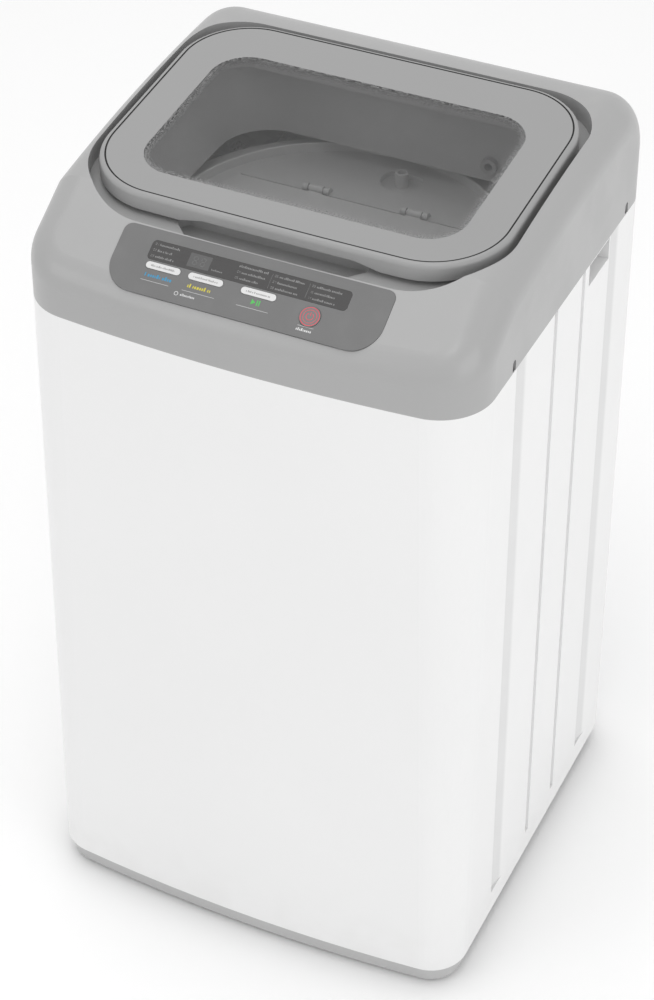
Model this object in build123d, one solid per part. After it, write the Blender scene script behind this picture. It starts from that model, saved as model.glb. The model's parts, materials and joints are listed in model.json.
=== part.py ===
from build123d import *
import os
from math import atan2, cos, degrees, hypot, radians, sin, sqrt, tan

# Portable top-load mini washer. Millimetres, +Z up, origin on the floor under the
# middle of the machine, the control panel faces -Y.

# Cabinet
CABINET_WIDTH = 440.0
FRONT_Y = -218.0            # middle of the bowed front
REAR_Y = 215.5              # rear face of the sheet metal; screw heads reach 218
FRONT_BOW = 13.0            # how far the middle of the front stands ahead of its corners
CORNER_RADIUS_TOP = 52.0
CORNER_RADIUS_BOTTOM = 38.0
REAR_CORNER_RADIUS = 34.0
SHEET = 0.8
PLINTH_BOTTOM_Z = 5.0
WRAP_BOTTOM_Z = 25.0
SEAM_Z = 692.0              # where the steel wrap ends and the plastic collar begins
REAR_FLANGE = 16.0

# Pressed channels and carry handles of the two sides, as front and rear y of each
SIDE_GROOVES = ((-109.0, -82.0), (-19.5, -11.5), (49.0, 57.0), (120.0, 146.0))
GROOVE_DEPTH = 3.0
WIDE_CHANNEL = 20.0         # channels wider than this slope from front to rear
WIDE_CHANNEL_DEPTH = 3.4    # leaves the collar's spigot clear behind the sheet
GROOVE_BOTTOM_Z = 50.0
HANDLE_Y = (67.0, 118.0)
HANDLE_BOTTOM_Z = 668.0
HANDLE_DEPTH = 24.0

# Collar
COLLAR_WALL = 2.8
COLLAR_FILLET = 34.0
RIDGE_Y = -155.0            # upper edge of the sloped control panel
RIDGE_Z = 773.7
SLOPE_DEG = 31.8
RIM_START_Y = -131.0        # the slope meets the crowned rim here
RIM_END_Y = 150.0           # the crowned rim is level here and then rolls down to the rear
RIM_TOP_Z = 812.5
NOTCH_Y = (-115.0, 161.0)
NOTCH_HEIGHT = 12.0

# Lid
LID_HALF_WIDTH = 196.5
LID_FRONT_Y = -140.0
LID_REAR_Y = 140.5
LID_FRONT_BOW = 2.0
LID_FRONT_RADIUS = 74.0
LID_REAR_RADIUS = 68.0
LID_TILT_DEG = 4.9
LID_PLANE_Z = 803.9         # height of the lid's top plane above y = 0
LID_THICKNESS = 16.0
GLASS_THICKNESS = 4.0
GLASS_INSET = 6.3
GASKET_WIDTH = 1.6
WINDOW_HALF_WIDTH = 155.0
WINDOW_FRONT_Y = -104.0
WINDOW_REAR_Y = 89.0
HINGE_X = 110.0
HINGE_Y = 132.0
HINGE_DROP = 9.0            # hinge axis below the lid's top plane
HINGE_PIN_RADIUS = 2.5
BUMPER_X = 183.0
BUMPER_Y = (-60.0, 70.0)
LEDGE_DROP = 22.0           # recess floor below the lid's top plane
RECESS_HALF_WIDTH = 202.5
RECESS_FRONT_Y = -155.5
RECESS_REAR_Y = 147.0
RECESS_FRONT_RADIUS = 82.0
RECESS_REAR_RADIUS = 58.0   # small enough that the corners of the open lid stay clear
SCOOP_HALF_WIDTH = 102.0
SCOOP_DEPTH = 9.0           # finger scoop below the recess floor
SCOOP_END = 30.0            # how far each end of the scoop slants inwards to the front
GRIP_CENTRE_X = 8.0
GRIP_HALF_WIDTH = 72.0
GRIP_HEIGHT = 5.0
GRIP_END = 48.0

# Well under the lid
WELL_HALF_WIDTH_TOP = 168.0
WELL_HALF_WIDTH_BOTTOM = 153.0
WELL_FRONT_Y_TOP = -118.0
WELL_FRONT_Y_BOTTOM = -112.0
WELL_REAR_Y_TOP = 122.0
WELL_REAR_Y_BOTTOM = 116.0
WELL_BOTTOM_Z = 721.0

# Control panel, measured in its own sloped plane from the ridge
FASCIA_HALF_WIDTH = 129.0
FASCIA_HEIGHT = 62.0
FASCIA_THICKNESS = 2.4
FASCIA_LOWER_RADIUS = 27.0
FASCIA_UPPER_RADIUS = 8.0
FASCIA_TOP = 1.5            # gap between the ridge and the fascia
STRIP_CENTRE = (-3.0, -21.0)
STRIP_SIZE = (190.0, 19.0)
DISPLAY_CENTRE = (-50.0, -21.0)
DISPLAY_SIZE = (21.0, 13.0)
BUTTON_ROW = -35.5
BUTTON_LENGTH = 33.0
BUTTON_WIDTH = 6.4
WATER_LEVEL_U = -79.0
PROGRAM_U = -38.0
START_U = 12.5
POWER_U = 63.8
POWER_V = -43.2
POWER_RADIUS = 9.4
BUTTON_GAP = 0.35

# Tub and drive
TUB_Y = -14.0
TUB_RADIUS = 180.0
TUB_WALL = 3.0
TUB_BOTTOM_Z = 262.0
TUB_TOP_Z = 694.0
RIM_RADIUS = 160.0
RIM_CREST_Z = 712.0
COVER_DECK_Z = 702.0
COVER_HOLE_FRONT_Y = -109.0
COVER_HOLE_REAR_Y = 57.0
BOSS_X = 15.0
BOSS_Y = 109.0
INNER_LID_RADIUS = 145.0
INNER_HINGE_X = 50.0
INNER_PIN_RADIUS = 2.0
INNER_HINGE_Y = 60.0
INNER_HINGE_Z = 704.0
BASKET_RADIUS = 163.0
BASKET_WALL = 0.8
BASKET_BOTTOM_Z = 292.0
BASKET_TOP_Z = 662.0
BALANCE_INNER_RADIUS = 141.0
BALANCE_TOP_Z = 688.0
PULSATOR_RADIUS = 148.0
PULSATOR_Z = 306.0
SPIN_TUBE_RADIUS = 15.0
SHAFT_RADIUS = 8.0
RUNNING_CLEARANCE = 0.05
BELT_Z = 136.0
DRIVE_PULLEY_RADIUS = 75.0
MOTOR_PULLEY_RADIUS = 20.0
MOTOR_OFFSET = 118.0        # motor shaft behind the tub's axis
MOTOR_RADIUS = 47.0
ROD_X = 172.0
ROD_Y = 152.0               # either side of the tub's axis
ROD_RADIUS = 3.0
BRACKET_Z = 668.0
LUG_Z = 302.0
SPRING_BOTTOM_Z = 266.0
SEAL_RADIUS = 30.0
SEAL_TOP_Z = 274.0
BEARING_RADIUS = 24.0
CLUTCH_BOTTOM_Z = 178.0
MOTOR_SHAFT_RADIUS = 5.0

# Water and mains connections
INLET_X = 100.0
INLET_Z = 738.0
INLET_THREAD_RADIUS = 13.2
DRAIN_X = -120.0
DRAIN_Z = 90.0
DRAIN_SPIGOT_RADIUS = 14.0
GLAND_X = 140.0
GLAND_Z = 90.0

GLAND_BORE = 3.6
DRAIN_VALVE_Y = 46.0
HOSE_BOTTOM_Z = 106.0
HOSE_TOP_Z = 214.0
AIR_PORT_X = -200.0
AIR_PORT_Y = 10.0
AIR_TUBE_TOP_Z = 706.0
CAPACITOR_X = 118.0
CAPACITOR_Y = 175.0

FOOT_X = 165.0
FOOT_Y = 160.0
FOOT_RADIUS = 16.0


# Shared helpers

def lid_plane_z(y):
    """Height of the lid's top plane at a given y."""
    return LID_PLANE_Z + y * tan(radians(LID_TILT_DEG))


def tube(outer, inner, bottom, top, x=0.0, y=0.0):
    """Upright ring with its axis at x, y."""
    height = top - bottom
    wall = Cylinder(outer, height) - Cylinder(inner, height + 2)
    return Pos(x, y, (bottom + top) / 2) * wall


def rod(radius, bottom, top, x=0.0, y=0.0):
    """Upright round bar with its axis at x, y."""
    return Pos(x, y, (bottom + top) / 2) * Cylinder(radius, top - bottom)


def block(x_range, y_range, z_range):
    """Rectangular block between two corners."""
    size = [high - low for low, high in (x_range, y_range, z_range)]
    middle = [(high + low) / 2 for low, high in (x_range, y_range, z_range)]
    return Pos(*middle) * Box(*size)


def bar_x(radius, x_range, y, z):
    """Round bar along X."""
    length = x_range[1] - x_range[0]
    return Pos((x_range[0] + x_range[1]) / 2, y, z) * Rot(0, 90, 0) * Cylinder(radius, length)


def bar_y(radius, y_range, x, z):
    """Round bar along Y."""
    length = y_range[1] - y_range[0]
    return Pos(x, (y_range[0] + y_range[1]) / 2, z) * Rot(90, 0, 0) * Cylinder(radius, length)


def pan_screw(head_radius, head_height, shank_radius, shank_length):
    """Screw pointing down -Z with its head's underside at z = 0 and a cross recess."""
    head = Pos(0, 0, head_height / 2) * Cylinder(head_radius, head_height)
    head = fillet(head.edges().filter_by(GeomType.CIRCLE).sort_by(Axis.Z)[-1], head_height * 0.45)
    shank = Pos(0, 0, -shank_length / 2) * Cylinder(shank_radius, shank_length)
    recess = Box(head_radius * 1.1, head_radius * 0.26, head_height)
    recess += Box(head_radius * 0.26, head_radius * 1.1, head_height)
    return head + shank - Pos(0, 0, head_height) * recess


def save(name, shape):
    """Write one sub-part."""
    export_step(shape, f"parts/{name}.step")


# Cabinet

def cabinet_outline(inset, front_radius, rear_radius):
    """Plan of the cabinet: flat sides and rear, bowed front, rounded corners."""
    half_width = CABINET_WIDTH / 2 - inset
    rear = REAR_Y - inset
    front = FRONT_Y + inset
    corner = front + FRONT_BOW
    outline = make_face([
        Line((half_width, corner), (half_width, rear)),
        Line((half_width, rear), (-half_width, rear)),
        Line((-half_width, rear), (-half_width, corner)),
        ThreePointArc((-half_width, corner), (0, front), (half_width, corner)),
    ])
    outline = fillet([v for v in outline.vertices() if v.Y < 0], front_radius - inset)
    if rear_radius > inset:
        outline = fillet([v for v in outline.vertices() if v.Y > rear - 1], rear_radius - inset)
    return outline


def cabinet_block(inset):
    """Solid of the wrap's outside, its front corners widening upwards."""
    lower = Pos(0, 0, WRAP_BOTTOM_Z) * cabinet_outline(inset, CORNER_RADIUS_BOTTOM, REAR_CORNER_RADIUS)
    upper = Pos(0, 0, SEAM_Z) * cabinet_outline(inset, CORNER_RADIUS_TOP, REAR_CORNER_RADIUS)
    return loft([lower.face(), upper.face()], ruled=True)


def channel_plan(side, front, rear, extra):
    """Plan of one channel: a narrow one is square, a wide one is deepest at its front."""
    half = CABINET_WIDTH / 2
    if rear - front < WIDE_CHANNEL:
        deep = half - GROOVE_DEPTH - extra
        corners = ((half + 5, front - extra), (deep, front - extra), (deep, rear + extra),
                   (half + 5, rear + extra))
    else:
        deep = half - WIDE_CHANNEL_DEPTH - extra
        corners = ((half + 5, front - extra), (deep, front - extra), (half - extra, rear),
                   (half + 5, rear))
    return make_face(Polyline(*[(side * x, y) for x, y in corners], close=True))


def side_channels(extra):
    """Blocks that press the channels into both sides; extra is the sheet's own thickness."""
    bottom = GROOVE_BOTTOM_Z - extra
    channels = []
    for front, rear in SIDE_GROOVES:
        for side in (-1, 1):
            plan = channel_plan(side, front, rear, extra)
            channels.append(extrude(Pos(0, 0, bottom) * plan, SEAM_Z + 1 - bottom, dir=(0, 0, 1)))
    return channels


def handle_openings():
    """Windows of both carry handles in the sides."""
    half = CABINET_WIDTH / 2
    windows = []
    for side in (-1, 1):
        edges = sorted((side * (half - 10), side * (half + 5)))
        windows.append(block(edges, HANDLE_Y, (HANDLE_BOTTOM_Z, SEAM_Z + 1)))
    return windows


def make_cabinet_wrap():
    """One folded steel sheet: front and both sides, with rear return flanges."""
    outside = cabinet_block(0)
    inside = cabinet_block(SHEET)
    for channel in side_channels(0):
        outside -= channel
    for channel in side_channels(SHEET):
        inside -= channel
    wrap = outside - inside
    half = CABINET_WIDTH / 2 - REAR_CORNER_RADIUS - REAR_FLANGE
    wrap -= block((-half, half), (REAR_Y - 5, REAR_Y + 5), (0, SEAM_Z + 5))
    for window in handle_openings():
        wrap -= window
    for x, z in rear_screw_places():
        wrap -= bar_y(1.7, (REAR_Y - 10, REAR_Y + 10), x, z)
    return wrap


def make_carry_handles():
    """Both carry-handle cups."""
    return Compound([carry_handle(side).solids()[0] for side in (-1, 1)])


def carry_handle(side):
    """Plastic cup behind a side window, open outwards, with a middle rib."""
    outer = CABINET_WIDTH / 2 - SHEET - 0.1
    x_range = sorted((side * outer, side * (outer - HANDLE_DEPTH)))
    hollow = sorted((side * (outer + 1), side * (outer - HANDLE_DEPTH + 2)))
    cup = block(x_range, (HANDLE_Y[0] - 2, HANDLE_Y[1] + 2), (HANDLE_BOTTOM_Z - 2, SEAM_Z - 1))
    cup -= block(hollow, HANDLE_Y, (HANDLE_BOTTOM_Z, SEAM_Z - 3))
    rib = sorted((side * (outer - HANDLE_DEPTH + 1), side * (outer - HANDLE_DEPTH + 9)))
    middle = (HANDLE_Y[0] + HANDLE_Y[1]) / 2
    cup += block(rib, (middle - 1, middle + 1), (HANDLE_BOTTOM_Z - 1, SEAM_Z - 2))
    # the cup's front and rear walls step round the pressed channels
    for channel in side_channels(SHEET + 0.2):
        cup -= channel
    return cup


def make_base_tray():
    """Moulded plinth with a stepped skirt, a deck, foot bosses and a drive opening."""
    step_z = PLINTH_BOTTOM_Z + 9
    deck_top = WRAP_BOTTOM_Z - 0.2
    tray = plinth_layer(6.5, PLINTH_BOTTOM_Z, step_z)
    tray += plinth_layer(4.0, step_z, deck_top)
    tray -= plinth_layer(9.5, PLINTH_BOTTOM_Z - 1, deck_top - 3)
    tray += plinth_layer(4.6, deck_top - 1, deck_top + 18)
    tray -= plinth_layer(7.0, deck_top, deck_top + 20)
    tray -= rod(118, 0, 60, 0, TUB_Y)
    for x in (-FOOT_X, FOOT_X):
        for y in (-FOOT_Y, FOOT_Y):
            tray += rod(12, 8, deck_top - 1, x, y)
            tray -= rod(5 + RUNNING_CLEARANCE, 0, 60, x, y)
    for x, y in guard_screw_places():
        tray -= rod(1.6, 0, 60, x, y)
    return tray


def plinth_layer(inset, bottom, top):
    """Slab with the cabinet's plan, drawn in by an inset."""
    plan = cabinet_outline(inset, CORNER_RADIUS_BOTTOM, REAR_CORNER_RADIUS)
    return extrude(Pos(0, 0, bottom) * plan, top - bottom)


def make_foot():
    """Rubber-faced foot pad on a stem, for one corner."""
    pad = Pos(0, 0, 3.5) * Cone(FOOT_RADIUS, FOOT_RADIUS - 3, 7)
    stem = Pos(0, 0, 13) * Cylinder(5, 14)
    return pad + stem


def make_fixed_feet():
    """Three push-in feet."""
    places = ((-FOOT_X, -FOOT_Y), (-FOOT_X, FOOT_Y), (FOOT_X, FOOT_Y))
    return Compound([Pos(x, y, 0) * make_foot() for x, y in places])


def make_levelling_foot():
    """The foot at the front right, turned by hand; its pad is ribbed for grip."""
    foot = make_foot()
    for step in range(12):
        groove = Pos(FOOT_RADIUS + 0.4, 0, 4) * Cylinder(1.6, 12)
        foot -= Rot(0, 0, 30 * step) * groove
    return Pos(FOOT_X, -FOOT_Y, 0) * foot


def make_bottom_guard():
    """Slotted steel plate that closes the drive opening from above the deck."""
    plate = rod(130, WRAP_BOTTOM_Z - 0.2, WRAP_BOTTOM_Z + 1, 0, TUB_Y)
    for step in range(-4, 5):
        slot = SlotOverall(150, 7)
        plate -= extrude(Pos(0, TUB_Y + 20 * step, WRAP_BOTTOM_Z - 2) * slot, 6)
    for x, y in guard_screw_places():
        plate -= rod(2.2, 0, 60, x, y)
    return plate


def guard_screw_places():
    """Four screws round the drive opening."""
    ring = 124.0
    return [(ring * cos(radians(a)), TUB_Y + ring * sin(radians(a))) for a in (45, 135, 225, 315)]


def make_rear_panel():
    """Flat steel back, screwed inside the wrap's return flanges, with two holes."""
    width = 2 * (CABINET_WIDTH / 2 - REAR_CORNER_RADIUS) - 2
    rear = REAR_Y - SHEET - 0.05
    panel = block((-width / 2, width / 2), (rear - SHEET, rear), (WRAP_BOTTOM_Z, SEAM_Z - 0.5))
    for z in (300, 470, 640):
        rib = block((-130, 130), (rear - SHEET - 2.5, rear + 5), (z - 6, z + 6))
        skin = block((-130 + SHEET, 130 - SHEET), (rear - 2.5, rear + 5), (z - 6 + SHEET, z + 6 - SHEET))
        panel += rib & block((-300, 300), (0, rear), (0, 900))
        panel -= skin
    panel -= bar_y(DRAIN_SPIGOT_RADIUS + 12, (0, 300), DRAIN_X, DRAIN_Z)
    panel -= bar_y(9.2, (0, 300), GLAND_X, GLAND_Z)
    panel -= block((-85, 85), (0, 300), (120, 255))
    for x, z in rear_screw_places() + cover_screw_places():
        panel -= bar_y(1.7, (0, 300), x, z)
    return panel


def rear_screw_places():
    """Screws along both return flanges."""
    x = CABINET_WIDTH / 2 - REAR_CORNER_RADIUS - REAR_FLANGE / 2
    return [(side * x, z) for side in (-1, 1) for z in (70, 280, 480, 660)]


def cover_screw_places():
    """Screws of the motor access cover."""
    return [(side * 92.0, z) for side in (-1, 1) for z in (125, 250)]


def make_rear_cover():
    """Louvred access cover over the motor."""
    front = REAR_Y - SHEET
    cover = block((-100, 100), (front, front + SHEET), (105, 270))
    for step in range(6):
        z = 145 + step * 18
        louvre = block((-60, 60), (front - 1, front + 2), (z, z + 5))
        cover -= louvre
    for x, z in cover_screw_places():
        cover -= bar_y(1.7, (0, 300), x, z)
    return cover


def make_case_screws():
    """Pan-head screws of the collar, the back, the motor cover and the bottom guard."""
    screws = []
    for x, y in guard_screw_places():
        screws.append(Pos(x, y, WRAP_BOTTOM_Z + 1) * pan_screw(4, 2.2, 1.6, 3))
    for x, z in rear_screw_places() + cover_screw_places():
        screws.append(Pos(x, REAR_Y, z) * Rot(-90, 0, 0) * pan_screw(4, 2.5, 1.65, 7))
    for side in (-1, 1):
        for y in NOTCH_Y:
            place = Pos(side * (CABINET_WIDTH / 2 - 4.5), y, SEAM_Z + 5)
            screws.append(place * Rot(0, side * 90, 0) * pan_screw(3.1, 2, 1.65, 7))
    return Compound(screws)


# Collar

def side_profile(inset):
    """Section of the collar along Y: sloped panel, crowned rim and a rolled rear edge."""
    slope = tan(radians(SLOPE_DEG))
    drop = inset / cos(radians(SLOPE_DEG))
    start_z = RIDGE_Z + (RIM_START_Y - RIDGE_Y) * slope - drop
    top_z = RIM_TOP_Z - inset
    rear = REAR_Y - inset
    rise = top_z - start_z
    run = RIM_END_Y - RIM_START_Y
    crown = (run * run + rise * rise) / (2 * rise)
    middle_y = (RIM_START_Y + RIM_END_Y) / 2
    middle_z = top_z - crown + sqrt(crown * crown - (RIM_END_Y - middle_y) ** 2)
    roll = REAR_Y - RIM_END_Y - inset
    roll_y = RIM_END_Y + roll * sin(radians(45))
    roll_z = top_z - roll + roll * cos(radians(45))
    front = FRONT_Y - 40
    front_z = start_z - (RIM_START_Y - front) * slope
    floor = SEAM_Z - 20
    return make_face([
        Line((front, floor), (rear, floor)),
        Line((rear, floor), (rear, top_z - roll)),
        ThreePointArc((rear, top_z - roll), (roll_y, roll_z), (RIM_END_Y, top_z)),
        ThreePointArc((RIM_END_Y, top_z), (middle_y, middle_z), (RIM_START_Y, start_z)),
        Line((RIM_START_Y, start_z), (front, front_z)),
        Line((front, front_z), (front, floor)),
    ])


def collar_block(inset, bottom):
    """Outside of the collar, its upper edges rounded over all round."""
    plan = cabinet_outline(inset, CORNER_RADIUS_TOP, 0)
    shape = extrude(Pos(0, 0, bottom) * plan, 200)
    shape &= extrude(Plane.YZ * side_profile(inset), CABINET_WIDTH, both=True)
    shape = shape.solids()[0]
    edges = [e for e in shape.edges() if rounds_over(e, bottom)]
    return fillet(edges, COLLAR_FILLET - inset)


def rounds_over(edge, bottom):
    """True for the collar's outer top edges and its two upright rear edges."""
    start = edge @ 0
    end = edge @ 1
    if edge.bounding_box().max.Z < bottom + 1:
        return False
    upright = abs(start.X - end.X) < 0.01 and abs(start.Y - end.Y) < 0.01
    across = start.X * end.X < 0 and abs(start.X) > CABINET_WIDTH / 2 - 8
    if upright:
        return start.Y > 0
    return not across


def rounded_plan(half_width, front, rear, bow, front_radius, rear_radius):
    """Rounded rectangle with its front edge bowed forward."""
    corner = front + bow
    outline = make_face([
        Line((half_width, corner), (half_width, rear)),
        Line((half_width, rear), (-half_width, rear)),
        Line((-half_width, rear), (-half_width, corner)),
        ThreePointArc((-half_width, corner), (0, front), (half_width, corner)),
    ])
    middle = (front + rear) / 2
    outline = fillet([v for v in outline.vertices() if v.Y < middle], front_radius)
    return fillet([v for v in outline.vertices() if v.Y > rear - 0.5], rear_radius)


def lid_plan(offset):
    """Plan of the lid, grown by an offset."""
    return rounded_plan(
        LID_HALF_WIDTH + offset, LID_FRONT_Y - offset, LID_REAR_Y + offset, LID_FRONT_BOW,
        LID_FRONT_RADIUS + offset, LID_REAR_RADIUS + offset)


def window_plan(offset):
    """Plan of the clear part of the lid, grown by an offset."""
    return rounded_plan(
        WINDOW_HALF_WIDTH + offset, WINDOW_FRONT_Y - offset, WINDOW_REAR_Y + offset, 1.5,
        44 + offset, 29 + offset)


def recess_plan(offset):
    """Plan of the recess that the lid lies in, wider at the front for the fingers."""
    return rounded_plan(
        RECESS_HALF_WIDTH + offset, RECESS_FRONT_Y - offset, RECESS_REAR_Y + offset, LID_FRONT_BOW,
        RECESS_FRONT_RADIUS + offset, RECESS_REAR_RADIUS + offset)


def tilted_slab(drop_top, drop_bottom):
    """Slab parallel to the lid's top plane, between two drops below it."""
    thick = (drop_bottom - drop_top) * cos(radians(LID_TILT_DEG))
    middle = LID_PLANE_Z - (drop_top + drop_bottom) / 2
    return Pos(0, 0, middle) * Rot(LID_TILT_DEG, 0, 0) * Box(900, 900, thick)


def lid_prism(plan, drop_top, drop_bottom):
    """Upright prism of a plan between two planes parallel to the lid."""
    return extrude(Pos(0, 0, 600) * plan, 400) & tilted_slab(drop_top, drop_bottom)


def well_block(offset):
    """Tapered inside of the well, grown by an offset."""
    upper = RectangleRounded(
        2 * (WELL_HALF_WIDTH_TOP + offset), WELL_REAR_Y_TOP - WELL_FRONT_Y_TOP + 2 * offset, 62 + offset)
    lower = RectangleRounded(
        2 * (WELL_HALF_WIDTH_BOTTOM + offset), WELL_REAR_Y_BOTTOM - WELL_FRONT_Y_BOTTOM + 2 * offset,
        50 + offset)
    upper = Pos(0, (WELL_REAR_Y_TOP + WELL_FRONT_Y_TOP) / 2, 800) * upper
    lower = Pos(0, (WELL_REAR_Y_BOTTOM + WELL_FRONT_Y_BOTTOM) / 2, WELL_BOTTOM_Z) * lower
    return loft([lower.face(), upper.face()], ruled=True)


def collar_lip():
    """Flange and lip of the collar that drop inside the wrap."""
    flange = collar_ring(1.5, 7.1, SEAM_Z + 8, SEAM_Z + 10.5)
    lip = collar_ring(4.6, 7.1, SEAM_Z - 10, SEAM_Z + 10.5)
    for side in (-1, 1):
        edges = sorted((side * (CABINET_WIDTH / 2 - 30), side * (CABINET_WIDTH / 2)))
        lip -= block(edges, (HANDLE_Y[0] - 2.5, HANDLE_Y[1] + 2.5), (SEAM_Z - 30, SEAM_Z))
    return flange + lip


def collar_ring(outer_inset, inner_inset, bottom, top):
    """Band that follows the cabinet's plan at the collar."""
    outer = cabinet_outline(outer_inset, CORNER_RADIUS_TOP, REAR_CORNER_RADIUS)
    inner = cabinet_outline(inner_inset, CORNER_RADIUS_TOP, REAR_CORNER_RADIUS)
    band = extrude(Pos(0, 0, bottom) * outer, top - bottom)
    return band - extrude(Pos(0, 0, bottom - 1) * inner, top - bottom + 2)


def screw_notch(side, y):
    """Arched notch in the skirt where a side screw sits."""
    x_range = sorted((side * (CABINET_WIDTH / 2 - 4.55), side * (CABINET_WIDTH / 2 + 3)))
    top = SEAM_Z + NOTCH_HEIGHT - 3.5
    return block(x_range, (y - 3.5, y + 3.5), (SEAM_Z - 1, top)) + bar_x(3.5, x_range, y, top)


def panel_plane(u, v, depth):
    """Location on the sloped panel: u across, v up the slope, depth below its face."""
    frame = Plane(origin=(0, RIDGE_Y, RIDGE_Z), x_dir=(1, 0, 0),
                  z_dir=(0, -sin(radians(SLOPE_DEG)), cos(radians(SLOPE_DEG))))
    return frame * Pos(u, v, -depth)


def fascia_plan(offset):
    """Outline of the fascia in the panel's plane, its origin at the ridge."""
    half_width = FASCIA_HALF_WIDTH + offset
    top = -FASCIA_TOP + offset
    bottom = -FASCIA_TOP - FASCIA_HEIGHT - offset
    plan = Pos(0, (top + bottom) / 2, 0) * Rectangle(2 * half_width, top - bottom)
    plan = fillet([v for v in plan.vertices() if v.Y < bottom + 1], FASCIA_LOWER_RADIUS + offset)
    return fillet([v for v in plan.vertices() if v.Y > top - 1], FASCIA_UPPER_RADIUS + offset)


def pill(offset):
    """Plan of a long button, grown by an offset."""
    return SlotOverall(BUTTON_LENGTH + 2 * offset, BUTTON_WIDTH + 2 * offset)


def button_places():
    """Centre and plan maker of each button."""
    return {
        "water_level_button": (WATER_LEVEL_U, BUTTON_ROW, pill),
        "program_button": (PROGRAM_U, BUTTON_ROW, pill),
        "start_pause_button": (START_U, BUTTON_ROW, pill),
        "power_button": (POWER_U, POWER_V, power_disc),
    }


def power_disc(offset):
    """Plan of the round power button, grown by an offset."""
    return Circle(POWER_RADIUS + offset)


def panel_holes(depth_top, depth_bottom):
    """Button and display holes through the panel between two depths."""
    height = depth_bottom - depth_top
    holes = []
    for u, v, plan in button_places().values():
        holes.append(panel_plane(u, v, depth_bottom) * extrude(plan(BUTTON_GAP), height))
    display = Rectangle(DISPLAY_SIZE[0] - 2, DISPLAY_SIZE[1] - 2)
    holes.append(panel_plane(*DISPLAY_CENTRE, depth_bottom) * extrude(display, height))
    return holes


def make_top_collar():
    """Moulded collar: skirt, panel bed, lid recess and well wall in one piece."""
    shell = collar_block(0, SEAM_Z)
    inside = collar_block(COLLAR_WALL, SEAM_Z - 10)
    collar = shell - inside
    recess = lid_prism(recess_plan(COLLAR_WALL), -40, LEDGE_DROP + COLLAR_WALL)
    scoop = finger_scoop(COLLAR_WALL)
    bed = panel_plane(0, 0, 5) * extrude(fascia_plan(3), 4)
    collar += (recess + scoop + bed) & shell
    collar += well_block(COLLAR_WALL) & tilted_slab(LEDGE_DROP, 200)
    collar -= lid_prism(recess_plan(0), -60, LEDGE_DROP)
    collar -= finger_scoop(0)
    collar -= well_block(0)
    collar += collar_lip()
    collar -= panel_plane(0, 0, 2) * extrude(fascia_plan(0.2), 10)
    for hole in panel_holes(-5, 8):
        collar -= hole
    for side in (-1, 1):
        for y in NOTCH_Y:
            collar -= screw_notch(side, y)
            collar -= bar_x(1.7, sorted((side * 200, side * 219)), y, SEAM_Z + 5)
    collar -= bar_y(INLET_THREAD_RADIUS + 6, (REAR_Y - 8, REAR_Y + 5), INLET_X, INLET_Z)
    collar -= bar_y(8.0, (100, 135), INLET_X, INLET_Z)
    return collar


def finger_scoop(offset):
    """Hand scoop behind the ridge, deeper than the rest of the recess, with slanting ends."""
    front = RECESS_FRONT_Y + 0.5 - offset
    rear = RECESS_FRONT_Y + 30.5 + offset
    wide = SCOOP_HALF_WIDTH + offset
    narrow = wide - SCOOP_END
    plan = make_face(Polyline((-narrow, front), (narrow, front), (wide, rear), (-wide, rear), close=True))
    plan = fillet(plan.vertices(), 8 + offset)
    return lid_prism(plan, -60 if offset == 0 else 0, LEDGE_DROP + SCOOP_DEPTH + offset)


# Control panel

def make_control_fascia():
    """Thin moulded fascia on the slope, with holes for the buttons and the display."""
    plate = panel_plane(0, 0, 2) * extrude(fascia_plan(0), FASCIA_THICKNESS)
    strip = RectangleRounded(*STRIP_SIZE, 4)
    plate -= panel_plane(*STRIP_CENTRE, 0.6 - FASCIA_THICKNESS + 2) * extrude(strip, 5)
    for hole in panel_holes(-5, 8):
        plate -= hole
    return plate


def make_display_window():
    """Dark translucent strip over the legends and the display."""
    strip = RectangleRounded(STRIP_SIZE[0] - 0.3, STRIP_SIZE[1] - 0.3, 3.85)
    return panel_plane(*STRIP_CENTRE, 0.6 - FASCIA_THICKNESS + 2) * extrude(strip, 0.55)


def make_display_module():
    """Two-digit numeric display behind the strip, standing on the board."""
    return panel_plane(*DISPLAY_CENTRE, 12) * extrude(Rectangle(18.5, 10.5), 10)


def make_control_board():
    """Circuit board below the panel with its larger parts and a push switch under each button."""
    board = panel_plane(0, -39, 13.6) * extrude(Rectangle(206, 44), 1.6)
    relay = panel_plane(-85, -50, 29) * extrude(Rectangle(18, 14), 15.4)
    supply = panel_plane(20, -48, 31) * extrude(Rectangle(24, 20), 17.4)
    connector = panel_plane(60, -44, 26) * extrude(Rectangle(30, 10), 12.4)
    board += relay + supply + connector
    for u, v, _ in button_places().values():
        board += panel_plane(u, v, 12.1) * extrude(Rectangle(6, 6), 2.3)
        board += panel_plane(u, v, 10) * extrude(Circle(1.7), 1)
    return board


def make_board_housing():
    """Open tray that carries the circuit board under the panel."""
    tray = panel_plane(0, -39, 36) * extrude(Rectangle(216, 48), 24)
    tray -= panel_plane(0, -39, 34) * extrude(Rectangle(212, 44.6), 30)
    tray += panel_plane(0, -39, 15.6) * extrude(Rectangle(216, 48), 1.9)
    tray -= panel_plane(0, -39, 40) * extrude(Rectangle(200, 40), 40)
    return tray


def make_button(name):
    """Button cap with a retaining flange and a stem over its switch."""
    u, v, plan = button_places()[name]
    cap = panel_plane(u, v, 5.3) * extrude(plan(0), 5.3 + FASCIA_THICKNESS - 2 + 0.5)
    flange = panel_plane(u, v, 6.5) * extrude(plan(2), 1.2)
    stem = panel_plane(u, v, 7.7) * extrude(Circle(2), 2)
    return cap + flange + stem


# Lid

def hinge_z():
    """Height of the lid's hinge axis."""
    return lid_plane_z(HINGE_Y) - HINGE_DROP


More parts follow.
